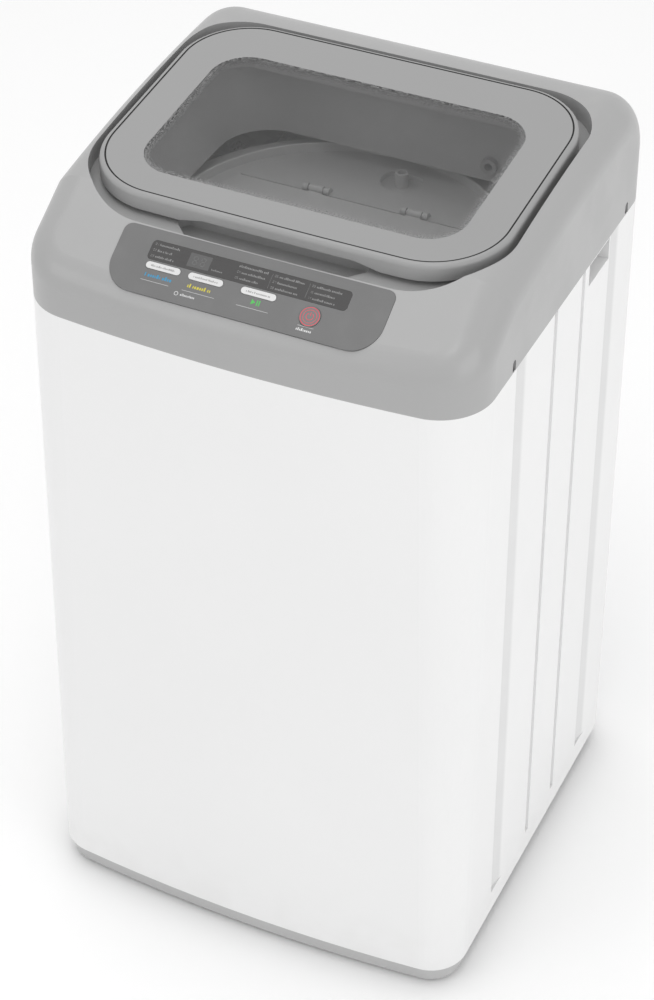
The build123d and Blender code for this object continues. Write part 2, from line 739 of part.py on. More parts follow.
def make_lid_frame():
    """Lid frame: bordered top, rolled outer edge, skirt, hinge lugs and bumper pads."""
    frame = lid_prism(lid_plan(0), 0, LID_THICKNESS)
    rim = frame.edges().filter_by(lambda e: abs(top_drop(e)) < 0.05)
    frame = fillet(rim, 4.5)
    frame -= lid_prism(lid_plan(-2.5), 6.8, LID_THICKNESS + 1)
    frame += lid_prism(window_plan(2.5), 5, 12)
    frame -= lid_prism(window_plan(0), -5, 30)
    frame -= lid_prism(lid_plan(GASKET_WIDTH - GLASS_INSET), -5, 0.2 + GLASS_THICKNESS)
    frame -= lid_grip()
    for side in (-1, 1):
        for y in BUMPER_Y:
            pad = rod(6, 700, 860, side * BUMPER_X, y)
            frame += pad & tilted_slab(5, LID_THICKNESS)
        across = (side * HINGE_X - 5.2, side * HINGE_X + 5.2)
        slot = block(across, (HINGE_Y - 8, 150), (700, hinge_z() + 4.8))
        frame -= slot
        for offset in (-7.8, 7.8):
            frame += hinge_lug(side * HINGE_X + offset)
        frame -= bar_x(HINGE_PIN_RADIUS, (side * HINGE_X - 12, side * HINGE_X + 12), HINGE_Y, hinge_z())
    return frame


def lid_grip():
    """Cut in the front skirt for the fingers, with sloping ends."""
    top = lid_plane_z(LID_FRONT_Y) - LID_THICKNESS + GRIP_HEIGHT
    middle = GRIP_CENTRE_X
    view = ((middle - GRIP_HALF_WIDTH - GRIP_END, top - 2 * GRIP_HEIGHT),
            (middle - GRIP_HALF_WIDTH, top), (middle + GRIP_HALF_WIDTH, top),
            (middle + GRIP_HALF_WIDTH + GRIP_END, top - 2 * GRIP_HEIGHT))
    face = Plane.XZ * make_face(Polyline(*view, close=True))
    return Pos(0, LID_FRONT_Y, 0) * extrude(face, 7, both=True)


def top_drop(edge):
    """Distance of an edge's middle below the lid's top plane."""
    middle = edge @ 0.5
    return lid_plane_z(middle.Y) - middle.Z


def hinge_lug(x):
    """Lug of the lid that holds one end of a hinge pin."""
    lug = bar_x(4.5, (x - 2.4, x + 2.4), HINGE_Y, hinge_z())
    lug += block((x - 2.4, x + 2.4), (HINGE_Y - 5, HINGE_Y + 5), (hinge_z(), hinge_z() + 4.2))
    return lug


def make_hinge_brackets():
    """Two brackets on the recess floor whose ears carry the hinge pins."""
    brackets = []
    for side in (-1, 1):
        x = side * HINGE_X
        ear = bar_x(4.3, (x - 4, x + 4), HINGE_Y, hinge_z())
        ear += block((x - 4, x + 4), (HINGE_Y - 4.3, HINGE_Y + 3.2), (hinge_z() - 30, hinge_z()))
        ear += block((x - 4, x + 4), (HINGE_Y - 6, HINGE_Y + 9), (hinge_z() - 30, hinge_z() - 11.2))
        ear &= tilted_slab(-20, LEDGE_DROP)
        ear -= bar_x(HINGE_PIN_RADIUS + RUNNING_CLEARANCE, (x - 9, x + 9), HINGE_Y, hinge_z())
        brackets.append(ear.solids()[0])
    return Compound(brackets)


def make_hinge_pins():
    """Steel pins fixed in the lid's lugs."""
    return Compound([
        bar_x(HINGE_PIN_RADIUS, (side * HINGE_X - 10.2, side * HINGE_X + 10.2), HINGE_Y, hinge_z())
        for side in (-1, 1)])


def make_lid_glass():
    """Flat tempered glass plate that fills the lid's top."""
    return lid_prism(lid_plan(-GLASS_INSET), 0.2, 0.2 + GLASS_THICKNESS)


def make_glass_gasket():
    """Thin seal between the glass and its frame."""
    ring = lid_prism(lid_plan(GASKET_WIDTH - GLASS_INSET), 0.2, 0.2 + GLASS_THICKNESS)
    return ring - lid_prism(lid_plan(-GLASS_INSET), -3, 10)


def make_lid_bumpers():
    """Rubber stops on the recess floor."""
    bumpers = []
    for side in (-1, 1):
        for y in BUMPER_Y:
            stop = rod(5, 700, 860, side * BUMPER_X, y) & tilted_slab(LID_THICKNESS + 0.3, LEDGE_DROP)
            bumpers.append(stop.solids()[0])
    return Compound(bumpers)


def make_lid_magnet():
    """Magnet under the lid's border that works the lid switch."""
    return block((119, 131), (-128, -118), (760, 860)) & tilted_slab(6.8, 12.8)


def make_lid_switch():
    """Reed switch under the recess floor."""
    return block((113, 137), (-134, -122), (700, 860)) & tilted_slab(LEDGE_DROP + COLLAR_WALL, 36)


# Tub

def make_outer_tub():
    """Plastic tub with a seal boss, four suspension lugs and an air port."""
    tub = tube(TUB_RADIUS, TUB_RADIUS - TUB_WALL, TUB_BOTTOM_Z, TUB_TOP_Z, 0, TUB_Y)
    tub += rod(TUB_RADIUS - 1, TUB_BOTTOM_Z, TUB_BOTTOM_Z + 4, 0, TUB_Y)
    tub += rod(38, TUB_BOTTOM_Z, SEAL_TOP_Z + 1, 0, TUB_Y)
    for x, y in rod_places():
        angle = degrees(atan2(y - TUB_Y, x))
        reach = hypot(x, y - TUB_Y)
        arm = Box(reach + 17.5 - TUB_RADIUS, 30, 10)
        arm = Pos((reach + 16 + TUB_RADIUS - 1.5) / 2, 0, LUG_Z + 5) * arm
        web = Pos(TUB_RADIUS + 13, 0, LUG_Z + 30) * Box(29, 5, 44)
        tub += Pos(0, TUB_Y, 0) * Rot(0, 0, angle) * (arm + web)
        tub -= rod(7, LUG_Z - 5, LUG_Z + 20, x, y)
    tub += bar_x(4, (AIR_PORT_X - 4, AIR_PORT_X + 23), AIR_PORT_Y, LUG_Z)
    tub += rod(5, LUG_Z - 4, LUG_Z + 5.5, AIR_PORT_X, AIR_PORT_Y)
    tub -= rod(SEAL_RADIUS, TUB_BOTTOM_Z - 1, SEAL_TOP_Z + 5, 0, TUB_Y)
    tub -= rod(10, TUB_BOTTOM_Z - 1, TUB_BOTTOM_Z + 9, DRAIN_X, DRAIN_VALVE_Y)
    return tub


def rod_places():
    """Centres of the four suspension rods."""
    return [(sx * ROD_X, TUB_Y + sy * ROD_Y) for sx in (-1, 1) for sy in (-1, 1)]


def cover_opening(offset):
    """Plan of the loading hole in the tub's cover, grown by an offset."""
    hole = Pos(0, TUB_Y, 0) * Circle(INNER_LID_RADIUS + 1 + offset)
    depth = COVER_HOLE_REAR_Y - COVER_HOLE_FRONT_Y + 2 * offset
    return hole & (Pos(0, (COVER_HOLE_REAR_Y + COVER_HOLE_FRONT_Y) / 2, 0) * Rectangle(400, depth))


def make_tub_cover():
    """Ring cover of the tub: raised rim, fixed rear deck with a filling boss, loading hole."""
    deck = COVER_DECK_Z
    cover = rod(TUB_RADIUS + 3, TUB_TOP_Z, deck, 0, TUB_Y)
    cover += tube(TUB_RADIUS + 3, TUB_RADIUS + 0.3, deck - 18, deck - 1, 0, TUB_Y)
    cover -= rod(TUB_RADIUS - 8, TUB_TOP_Z - 1, deck - 4, 0, TUB_Y)
    rim = tube(RIM_RADIUS + 1.5, RIM_RADIUS - 1.5, deck - 1, RIM_CREST_Z, 0, TUB_Y)
    cover += fillet(rim.edges().group_by(Axis.Z)[-1], 1.3)
    cover += rod(25, deck - 9, deck - 2, BOSS_X, BOSS_Y)
    cover += extrude(Pos(0, 0, deck - 7.5) * cover_opening(2), 6)
    recess = rod(20, deck - 5, deck + 5, BOSS_X, BOSS_Y)
    cover -= recess & block((-200, 200), (0, BOSS_Y + 13), (600, 900))
    cover += rod(6.5, deck - 6, deck + 10, BOSS_X, BOSS_Y)
    cover -= rod(4, 600, 900, BOSS_X, BOSS_Y)
    cover -= extrude(Pos(0, 0, deck - 3.7) * cover_opening(0), 10)
    cover -= extrude(Pos(0, 0, deck - 20) * cover_opening(-6), 30)
    for side in (-1, 1):
        x = side * INNER_HINGE_X
        cover -= block((x - 8, x + 8), (INNER_HINGE_Y - 10, INNER_HINGE_Y + 5.5), (deck - 3.7, deck + 1))
        for offset in (-11, 11):
            cover += inner_hinge_ear(x + offset)
        bore = INNER_PIN_RADIUS + RUNNING_CLEARANCE
        cover -= bar_x(bore, (x - 20, x + 20), INNER_HINGE_Y, INNER_HINGE_Z)
    return cover


def inner_hinge_ear(x):
    """Ear on the deck that carries one end of an inner hinge pin."""
    ear = bar_x(4, (x - 2.6, x + 2.6), INNER_HINGE_Y, INNER_HINGE_Z)
    return ear + block((x - 2.6, x + 2.6), (INNER_HINGE_Y - 1, INNER_HINGE_Y + 6),
                       (COVER_DECK_Z - 1, INNER_HINGE_Z))


def make_inner_lid():
    """Flat inner lid over the loading hole, with two pinned knuckles and a finger grip."""
    bottom = COVER_DECK_Z - 3.4
    lid = extrude(Pos(0, 0, bottom) * cover_opening(-0.8), 4)
    lid -= block((-300, 300), (INNER_HINGE_Y - 5, 300), (600, 900))
    for side in (-1, 1):
        x = side * INNER_HINGE_X
        lid += bar_x(3.6, (x - 7, x + 7), INNER_HINGE_Y, INNER_HINGE_Z)
        lid += block((x - 7, x + 7), (INNER_HINGE_Y - 8, INNER_HINGE_Y), (bottom + 1.2, bottom + 4))
        lid += bar_x(INNER_PIN_RADIUS, (x - 13.4, x + 13.4), INNER_HINGE_Y, INNER_HINGE_Z)
    grip = Pos(0, COVER_HOLE_FRONT_Y + 14, bottom + 4) * SlotOverall(70, 12)
    lid += extrude(grip, 5) - extrude(Pos(0, 5, 0) * grip, 3.5)
    return lid


def make_drive_bracket():
    """Steel plate under the tub that carries the clutch housing and the motor."""
    top = TUB_BOTTOM_Z - 0.1
    plate = rod(90, top - 3, top, 0, TUB_Y)
    plate += block((-62, 62), (TUB_Y, TUB_Y + MOTOR_OFFSET + 50), (top - 3, top))
    for side in (-1, 1):
        x_range = sorted((side * 62, side * 59.5))
        plate += block(x_range, (TUB_Y + 40, TUB_Y + MOTOR_OFFSET + 50), (top - 16, top))
    return plate - rod(SEAL_RADIUS, top - 10, top + 10, 0, TUB_Y)


def make_clutch_housing():
    """Cast housing of the two bearings and the wash and spin clutch."""
    top = TUB_BOTTOM_Z - 3.2
    housing = rod(52, CLUTCH_BOTTOM_Z, top, 0, TUB_Y)
    for angle in range(0, 360, 60):
        rib = Pos(50, 0, (CLUTCH_BOTTOM_Z + top) / 2) * Box(14, 5, top - CLUTCH_BOTTOM_Z)
        housing += Pos(0, TUB_Y, 0) * Rot(0, 0, angle) * rib
    housing -= rod(BEARING_RADIUS, CLUTCH_BOTTOM_Z - 1, CLUTCH_BOTTOM_Z + 24, 0, TUB_Y)
    housing -= rod(19, CLUTCH_BOTTOM_Z, top + 1, 0, TUB_Y)
    housing -= rod(BEARING_RADIUS, top - 22, top + 1, 0, TUB_Y)
    return housing


def make_bearings():
    """Lower and upper ball bearings of the spin tube."""
    inner = SPIN_TUBE_RADIUS + RUNNING_CLEARANCE
    lower = tube(BEARING_RADIUS, inner, CLUTCH_BOTTOM_Z + 10, CLUTCH_BOTTOM_Z + 24, 0, TUB_Y)
    upper_z = TUB_BOTTOM_Z - 3.2
    upper = tube(BEARING_RADIUS, inner, upper_z - 22, upper_z - 8, 0, TUB_Y)
    return Compound([lower.solids()[0], upper.solids()[0]])


def make_water_seal():
    """Lip seal between the tub and the spin tube."""
    return tube(SEAL_RADIUS, SPIN_TUBE_RADIUS + RUNNING_CLEARANCE, TUB_BOTTOM_Z + 1, SEAL_TOP_Z, 0, TUB_Y)


def make_motor():
    """Induction motor: stator can, end bells and three mounting posts."""
    y = TUB_Y + MOTOR_OFFSET
    top = TUB_BOTTOM_Z - 3.2
    can = rod(MOTOR_RADIUS, 180, 226, 0, y)
    bells = rod(MOTOR_RADIUS - 4, 168, 238, 0, y)
    bells = fillet(bells.edges().filter_by(GeomType.CIRCLE), 5)
    motor = can + bells
    for angle in (90, 210, 330):
        x_post = 38 * cos(radians(angle))
        motor += rod(5, 200, top, x_post, y + 38 * sin(radians(angle)))
    return motor - rod(MOTOR_SHAFT_RADIUS + RUNNING_CLEARANCE, 100, 236, 0, y)


def pulley(radius, bore):
    """Grooved pulley with its hub, centred on the origin in plan."""
    wheel = rod(radius, BELT_Z - 7, BELT_Z + 7)
    return wheel - tube(radius + 5, radius - 5, BELT_Z - 5, BELT_Z + 5) - rod(bore, 0, 400)


def make_drive_pulley():
    """Large pulley on the wash shaft, lightened by five holes."""
    wheel = pulley(DRIVE_PULLEY_RADIUS, SHAFT_RADIUS)
    wheel += tube(17, SHAFT_RADIUS, BELT_Z - 12, BELT_Z + 12)
    for step in range(5):
        angle = radians(72 * step)
        wheel -= rod(14, 0, 400, 43 * cos(angle), 43 * sin(angle))
    return Pos(0, TUB_Y, 0) * wheel


def make_motor_pulley():
    """Small pulley in one piece with the motor's shaft."""
    y = TUB_Y + MOTOR_OFFSET
    wheel = Pos(0, y, 0) * pulley(MOTOR_PULLEY_RADIUS, MOTOR_SHAFT_RADIUS - 1)
    return wheel + rod(MOTOR_SHAFT_RADIUS, BELT_Z - 12, 232, 0, y)


def belt_loop(depth):
    """Plan of the loop round both pulleys, at a depth below their rims."""
    large = Pos(0, TUB_Y) * Circle(DRIVE_PULLEY_RADIUS - depth)
    small = Pos(0, TUB_Y + MOTOR_OFFSET) * Circle(MOTOR_PULLEY_RADIUS - depth)
    return make_hull(large.edges() + small.edges())


def make_drive_belt():
    """Belt from the motor to the wash shaft."""
    loop = belt_loop(0.6) - belt_loop(4.6)
    return extrude(Pos(0, 0, BELT_Z - 4.5) * loop, 9)


def make_drain_valve():
    """Drain valve body under the tub, with its outlet pointing down."""
    y_range = (DRAIN_VALVE_Y - 18, DRAIN_VALVE_Y + 18)
    body = block((DRAIN_X - 20, DRAIN_X + 20), y_range, (228, TUB_BOTTOM_Z - 0.1))
    outlet = rod(12, HOSE_TOP_Z, 230, DRAIN_X, DRAIN_VALVE_Y)
    return body + outlet - rod(9, HOSE_TOP_Z - 1, 300, DRAIN_X, DRAIN_VALVE_Y)


def make_drain_motor():
    """Traction motor that opens the drain valve and the clutch, with its pull rod."""
    case = block((-152, -98), (-66, -30), (222, TUB_BOTTOM_Z - 0.1))
    pull = bar_y(2, (-30, DRAIN_VALVE_Y - 18), DRAIN_X, 240)
    return case + pull


def make_drain_hose():
    """Corrugated hose between the moving valve and the fixed elbow."""
    hose = tube(13, 10, HOSE_BOTTOM_Z, HOSE_TOP_Z, DRAIN_X, DRAIN_VALVE_Y)
    for step in range(11):
        z = HOSE_BOTTOM_Z + 4 + step * 9
        hose += tube(15, 12, z, z + 4, DRAIN_X, DRAIN_VALVE_Y)
    return hose


def make_drain_elbow():
    """Fixed pipe from below the hose to the spigot in the back."""
    elbow = rod(DRAIN_SPIGOT_RADIUS, DRAIN_Z - 14, HOSE_BOTTOM_Z, DRAIN_X, DRAIN_VALVE_Y)
    elbow += bar_y(DRAIN_SPIGOT_RADIUS, (DRAIN_VALVE_Y, 217.5), DRAIN_X, DRAIN_Z)
    elbow += bar_y(20, (188, 192), DRAIN_X, DRAIN_Z)
    elbow += block((DRAIN_X - 3, DRAIN_X + 3), (100, 150), (WRAP_BOTTOM_Z - 0.2, DRAIN_Z - 10))
    elbow -= rod(10, DRAIN_Z, HOSE_BOTTOM_Z + 1, DRAIN_X, DRAIN_VALVE_Y)
    return elbow - bar_y(10, (DRAIN_VALVE_Y, 220), DRAIN_X, DRAIN_Z)


# Basket and pulsator

def make_spin_basket():
    """Perforated stainless drum wall."""
    wall = tube(BASKET_RADIUS, BASKET_RADIUS - BASKET_WALL, BASKET_BOTTOM_Z, BASKET_TOP_Z)
    drills = []
    for row in range(8):
        z = BASKET_BOTTOM_Z + 45 + row * 40
        for step in range(14):
            angle = (step + 0.5 * (row % 2)) * 360 / 14
            if abs((angle + 180) % 360 - 180) > 14:
                drills.append(Pos(0, 0, z) * Rot(0, 0, angle) * bar_x(2.4, (150, 175), 0, 0))
    return Pos(0, TUB_Y, 0) * (wall - drills)


def make_basket_base():
    """Moulded floor of the drum, ribbed underneath, with a hub for the spin tube."""
    base = rod(BASKET_RADIUS - BASKET_WALL - 0.1, BASKET_BOTTOM_Z, BASKET_BOTTOM_Z + 6)
    base -= tube(140, 40, BASKET_BOTTOM_Z - 1, BASKET_BOTTOM_Z + 2.5)
    for step in range(12):
        rib = Pos(90, 0, BASKET_BOTTOM_Z + 1.6) * Box(104, 3, 3.2)
        base += Rot(0, 0, 30 * step) * rib
    return Pos(0, TUB_Y, 0) * (base - rod(SPIN_TUBE_RADIUS, 0, 400))


def make_basket_flange():
    """Cast spider that joins the drum to the spin tube."""
    top = BASKET_BOTTOM_Z - 0.2
    flange = rod(30, SEAL_TOP_Z + 3, top)
    for step in range(3):
        arm = Pos(60, 0, top - 3.5) * Box(90, 26, 7)
        flange += Rot(0, 0, 120 * step) * arm
    return Pos(0, TUB_Y, 0) * (flange - rod(SPIN_TUBE_RADIUS, 0, 400))


def make_spin_tube():
    """Hollow shaft that turns the drum."""
    inner = SHAFT_RADIUS + RUNNING_CLEARANCE
    return tube(SPIN_TUBE_RADIUS, inner, CLUTCH_BOTTOM_Z + 4, BASKET_BOTTOM_Z + 8, 0, TUB_Y)


def make_balance_ring():
    """Liquid-filled ring on top of the drum."""
    ring = tube(168, BALANCE_INNER_RADIUS, BASKET_TOP_Z + 0.1, BALANCE_TOP_Z)
    ring = fillet(ring.edges().group_by(Axis.Z)[-1], 7)
    ring += tube(168, BASKET_RADIUS + 0.2, BASKET_TOP_Z - 14, BASKET_TOP_Z + 1)
    return Pos(0, TUB_Y, 0) * ring


def make_lint_filter():
    """Slotted lint filter housing on the drum wall."""
    outer = BASKET_RADIUS - BASKET_WALL - 0.1
    window = block((0, 200), (-27, 27), (470, 610))
    filter_case = tube(outer, outer - 10, 470, 610) & window
    pocket = tube(outer - 2, outer - 8, 480, 615) & block((0, 200), (-23, 23), (400, 700))
    filter_case -= pocket
    for step in range(9):
        z = 492 + 12 * step
        filter_case -= block((100, outer - 5), (-18, 18), (z, z + 5))
    return Pos(0, TUB_Y, 0) * filter_case


def make_pulsator():
    """Dished disc with four tapering vanes and a ring of drain holes."""
    z = PULSATOR_Z
    profile = make_face(Polyline(
        (0, z - 4), (22, z - 4), (22, z), (PULSATOR_RADIUS, z), (PULSATOR_RADIUS, z + 11),
        (PULSATOR_RADIUS - 5, z + 11), (PULSATOR_RADIUS - 26, z + 6), (48, z + 8), (30, z + 24),
        (0, z + 26), close=True))
    disc = revolve(Plane.XZ * profile, Axis.Z)
    for step in range(4):
        side_view = ((20, z + 2), (138, z + 2), (132, z + 12), (30, z + 24), (20, z + 24))
        vane = make_face(Polyline(*side_view, close=True))
        vane = extrude(Plane.XZ * vane, 7, both=True)
        vane = fillet(vane.edges().filter_by(Axis.Y, reverse=True).group_by(Axis.Z)[-1], 3)
        disc += Rot(0, 0, 90 * step) * vane
    for step in range(24):
        angle = radians(15 * step + 7.5)
        disc -= rod(2.2, z - 1, z + 15, 105 * cos(angle), 105 * sin(angle))
    disc -= rod(SHAFT_RADIUS, 0, z + 16)
    disc -= rod(9, z + 21, z + 40)
    disc -= rod(3, z + 10, z + 30)
    return Pos(0, TUB_Y, 0) * disc


def make_pulsator_screw():
    """Screw that holds the pulsator on its shaft."""
    screw = pan_screw(8, 4, 2.95, 14)
    return Pos(0, TUB_Y, PULSATOR_Z + 21) * screw


def make_pulsator_shaft():
    """Wash shaft from the pulley up through the spin tube."""
    shaft = rod(SHAFT_RADIUS, BELT_Z - 24, PULSATOR_Z + 16, 0, TUB_Y)
    return shaft - rod(2.95, PULSATOR_Z + 6.9, PULSATOR_Z + 20, 0, TUB_Y)


# Suspension

def make_suspension_brackets():
    """Corner plates of the wrap that the rods hang from."""
    room = cabinet_block(SHEET + 0.05)
    for channel in side_channels(SHEET + 0.1):
        room -= channel
    plates = []
    for x, y in rod_places():
        y_range = (y - 45, y + 28) if y < 0 else (y - 14, y + 60)
        x_range = sorted((x - 26 * x / ROD_X, x + 60 * x / ROD_X))
        plate = room & block(x_range, y_range, (BRACKET_Z, BRACKET_Z + 3))
        hem = room & block(x_range, y_range, (BRACKET_Z - 22, BRACKET_Z + 3))
        hem -= block((-CABINET_WIDTH / 2 + 7, CABINET_WIDTH / 2 - 7), (-400, 400), (0, 900))
        plates.append((plate + hem - rod(ROD_RADIUS + 1.2, 0, 900, x, y)).solids()[0])
    return Compound(plates)


def make_suspension_rods():
    """Four hanging steel rods, each with its ball seat on top and its spring washer below."""
    hangers = []
    for x, y in rod_places():
        hanger = rod(ROD_RADIUS, SPRING_BOTTOM_Z - 8, BRACKET_Z + 12, x, y)
        ball = Pos(x, y, BRACKET_Z + 3.1) * Sphere(9)
        hanger += ball & rod(12, BRACKET_Z + 3.1, BRACKET_Z + 20, x, y)
        hanger += rod(13, SPRING_BOTTOM_Z - 4, SPRING_BOTTOM_Z, x, y)
        hangers.append(hanger.solids()[0])
    return Compound(hangers)


def make_suspension_springs():
    """Four coil springs below the tub's lugs, drawn as closed turns."""
    turns = 7
    wire = 1.5
    pitch = (LUG_Z - SPRING_BOTTOM_Z - 2 * wire) / (turns - 1)
    coils = []
    for x, y in rod_places():
        for turn in range(turns):
            coils.append(Pos(x, y, SPRING_BOTTOM_Z + wire + turn * pitch) * Torus(9, wire - 0.02))
    return Compound(coils)


# Water, air and mains

def make_inlet_valve():
    """Solenoid inlet valve with its threaded nozzle, coil and outlet."""
    body = block((INLET_X - 19, INLET_X + 19), (166, 198), (INLET_Z - 18, INLET_Z + 18))
    coil = rod(15, INLET_Z + 17, INLET_Z + 44, INLET_X, 180)
    nozzle = bar_y(INLET_THREAD_RADIUS, (190, 217.5), INLET_X, INLET_Z)
    outlet = bar_y(6.5, (142, 168), INLET_X, INLET_Z)
    valve = body + coil + nozzle + outlet
    valve -= bar_y(9, (196, 220), INLET_X, INLET_Z)
    return valve - bar_y(4, (140, 196), INLET_X, INLET_Z)


def make_fill_spout():
    """Rubber spout from the valve's outlet through the well's rear wall."""
    spout = bar_y(8, (112, 160), INLET_X, INLET_Z) + bar_y(12, (125.6, 128), INLET_X, INLET_Z)
    spout -= bar_y(4, (100, 143), INLET_X, INLET_Z)
    return spout - bar_y(6.5, (141.9, 170), INLET_X, INLET_Z)


def make_pressure_sensor():
    """Water level sensor beside the well."""
    sensor = rod(17, AIR_TUBE_TOP_Z + 6, AIR_TUBE_TOP_Z + 26, AIR_PORT_X, AIR_PORT_Y)
    return sensor + rod(5, AIR_TUBE_TOP_Z, AIR_TUBE_TOP_Z + 7, AIR_PORT_X, AIR_PORT_Y)


def make_pressure_tube():
    """Air tube from the tub's port up to the level sensor."""
    return tube(4, 2, LUG_Z + 5.6, AIR_TUBE_TOP_Z - 0.1, AIR_PORT_X, AIR_PORT_Y)


def make_motor_capacitor():
    """Motor capacitor in its clip on the deck."""
    deck = WRAP_BOTTOM_Z - 0.2
    can = rod(19, deck + 4, deck + 74, CAPACITOR_X, CAPACITOR_Y)
    can = fillet(can.edges().group_by(Axis.Z)[-1], 4)
    clip = tube(21.5, 19, deck + 1, deck + 24, CAPACITOR_X, CAPACITOR_Y)
    y_range = (CAPACITOR_Y - 10, CAPACITOR_Y + 10)
    foot = block((CAPACITOR_X - 26, CAPACITOR_X + 26), y_range, (deck, deck + 4))
    return can + clip + foot


def make_cord_gland():
    """Gland of the mains cord in the back."""
    gland = bar_y(9, (205, 216), GLAND_X, GLAND_Z) + bar_y(12.5, (REAR_Y + 0.05, 217.8), GLAND_X, GLAND_Z)
    return gland - bar_y(GLAND_BORE, (200, 220), GLAND_X, GLAND_Z)


def write_parts():
    """Build and write every sub-part."""
    makers = {
        "cabinet_wrap": make_cabinet_wrap,
        "carry_handles": make_carry_handles,
        "base_tray": make_base_tray,
        "fixed_feet": make_fixed_feet,
        "levelling_foot": make_levelling_foot,
        "bottom_guard": make_bottom_guard,
        "rear_panel": make_rear_panel,
        "rear_cover": make_rear_cover,
        "case_screws": make_case_screws,
        "top_collar": make_top_collar,
        "control_fascia": make_control_fascia,
        "display_window": make_display_window,
        "display_module": make_display_module,
        "control_board": make_control_board,
        "board_housing": make_board_housing,
        "lid_frame": make_lid_frame,
        "lid_glass": make_lid_glass,
        "glass_gasket": make_glass_gasket,
        "hinge_brackets": make_hinge_brackets,
        "lid_hinge_pins": make_hinge_pins,
        "lid_bumpers": make_lid_bumpers,
        "lid_magnet": make_lid_magnet,
        "lid_switch": make_lid_switch,
        "outer_tub": make_outer_tub,
        "tub_cover": make_tub_cover,
        "inner_lid": make_inner_lid,
        "drive_bracket": make_drive_bracket,
        "clutch_housing": make_clutch_housing,
        "shaft_bearings": make_bearings,
        "water_seal": make_water_seal,
        "motor": make_motor,
        "motor_pulley": make_motor_pulley,
        "drive_pulley": make_drive_pulley,
        "drive_belt": make_drive_belt,
        "drain_valve": make_drain_valve,
        "drain_motor": make_drain_motor,
        "drain_hose": make_drain_hose,
        "drain_elbow": make_drain_elbow,
        "spin_basket": make_spin_basket,
        "basket_base": make_basket_base,
        "basket_flange": make_basket_flange,
        "spin_tube": make_spin_tube,
        "balance_ring": make_balance_ring,
        "lint_filter": make_lint_filter,
        "pulsator": make_pulsator,
        "pulsator_screw": make_pulsator_screw,
        "pulsator_shaft": make_pulsator_shaft,
        "suspension_brackets": make_suspension_brackets,
        "suspension_rods": make_suspension_rods,
        "suspension_springs": make_suspension_springs,
        "inlet_valve": make_inlet_valve,
        "fill_spout": make_fill_spout,
        "pressure_sensor": make_pressure_sensor,
        "pressure_tube": make_pressure_tube,
        "motor_capacitor": make_motor_capacitor,
        "cord_gland": make_cord_gland,
    }
    for name, maker in makers.items():
        save(name, maker())
    for name in button_places():
        save(name, make_button(name))


os.makedirs("parts", exist_ok=True)
write_parts()
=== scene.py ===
import bpy
import bmesh
import json
import math
import random
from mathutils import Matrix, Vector

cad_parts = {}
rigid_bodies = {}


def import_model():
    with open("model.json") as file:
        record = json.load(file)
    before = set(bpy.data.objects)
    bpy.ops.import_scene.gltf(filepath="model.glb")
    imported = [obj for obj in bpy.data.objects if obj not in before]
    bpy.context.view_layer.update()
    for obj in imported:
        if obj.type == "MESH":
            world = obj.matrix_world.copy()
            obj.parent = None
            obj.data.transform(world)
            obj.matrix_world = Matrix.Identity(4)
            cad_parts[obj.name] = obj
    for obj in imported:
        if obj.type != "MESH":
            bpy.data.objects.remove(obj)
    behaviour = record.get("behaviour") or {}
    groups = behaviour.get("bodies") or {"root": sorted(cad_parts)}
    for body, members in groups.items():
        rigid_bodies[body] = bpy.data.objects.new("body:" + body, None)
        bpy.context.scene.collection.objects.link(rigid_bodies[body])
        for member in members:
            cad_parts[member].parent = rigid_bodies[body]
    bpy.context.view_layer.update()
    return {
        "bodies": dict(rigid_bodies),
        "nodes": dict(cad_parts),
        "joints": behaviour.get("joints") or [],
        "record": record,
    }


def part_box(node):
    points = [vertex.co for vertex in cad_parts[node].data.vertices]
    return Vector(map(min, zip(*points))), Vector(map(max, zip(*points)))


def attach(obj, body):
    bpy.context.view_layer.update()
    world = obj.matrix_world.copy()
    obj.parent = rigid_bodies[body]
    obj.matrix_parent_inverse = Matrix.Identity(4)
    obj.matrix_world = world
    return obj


# Portable top-load mini washer: finishes, printed legends, glass, light and camera.
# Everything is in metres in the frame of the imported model; MM turns millimetres into metres.

MM = 0.001

# Control panel: its surfaces above the slope's own plane, and the slope's ridge above the fascia's edge
RIDGE_ABOVE_FASCIA = 1.5
STRIP_SINK = 0.05
BUTTON_PROUD = 0.5
PRINT_LIFT = 0.02
PRINT_THICKNESS = 0.05

# Printing on the control panel, in millimetres: u runs across and v up the slope from its ridge
LEGEND_HEIGHT = 2.2
TITLE_V = -15.0
DIVIDER_V = -21.2
DIVIDER_HEIGHT = 14
DISPLAY_V = -21
BUTTON_LEGEND_V = -35.5
LABEL_V = -44.5
START_ICON = (12.3, -43.8)
POWER_CENTRE = (63.8, -43.2)
HAIRLINE_V = -50
HAIRLINE_HEIGHT = 0.28
LOCK_V = -54.4
POWER_HAIRLINE_V = -53
POWER_LABEL_V = -56.2

# Front and rear edges of the wide pressed channels in the cabinet's sides, whose floors get painted shade in
# the powder coat
WIDE_CHANNELS = ((-0.1095, -0.0820), (0.1195, 0.1460))

# Clear part of the lid glass, and how far the speckled edge of its printed border fades into it
WINDOW_HALF_WIDTH = 0.155
WINDOW_FRONT_Y = -0.104
WINDOW_REAR_Y = 0.089
WINDOW_RADIUS = 0.036
FADE_WIDTH = 0.0115
SPECKLE_SIZE = 0.0016

# Camera and light, in metres and watts
CAMERA_PLACE = (0.8808, -1.8864, 2.0643)
CAMERA_FORWARD = (-0.3502, 0.7407, -0.5733)
CAMERA_SENSOR = 36
CAMERA_LENS = 98.3
CAMERA_SHIFT_Y = -0.18
SURROUND_STRENGTH = 0.80
LIGHT_TARGET = (0, 0, 0.45)
SHOULDER_TARGET = (0.17, -0.17, 0.70)
FLOOR_HALF_SIZE = 14


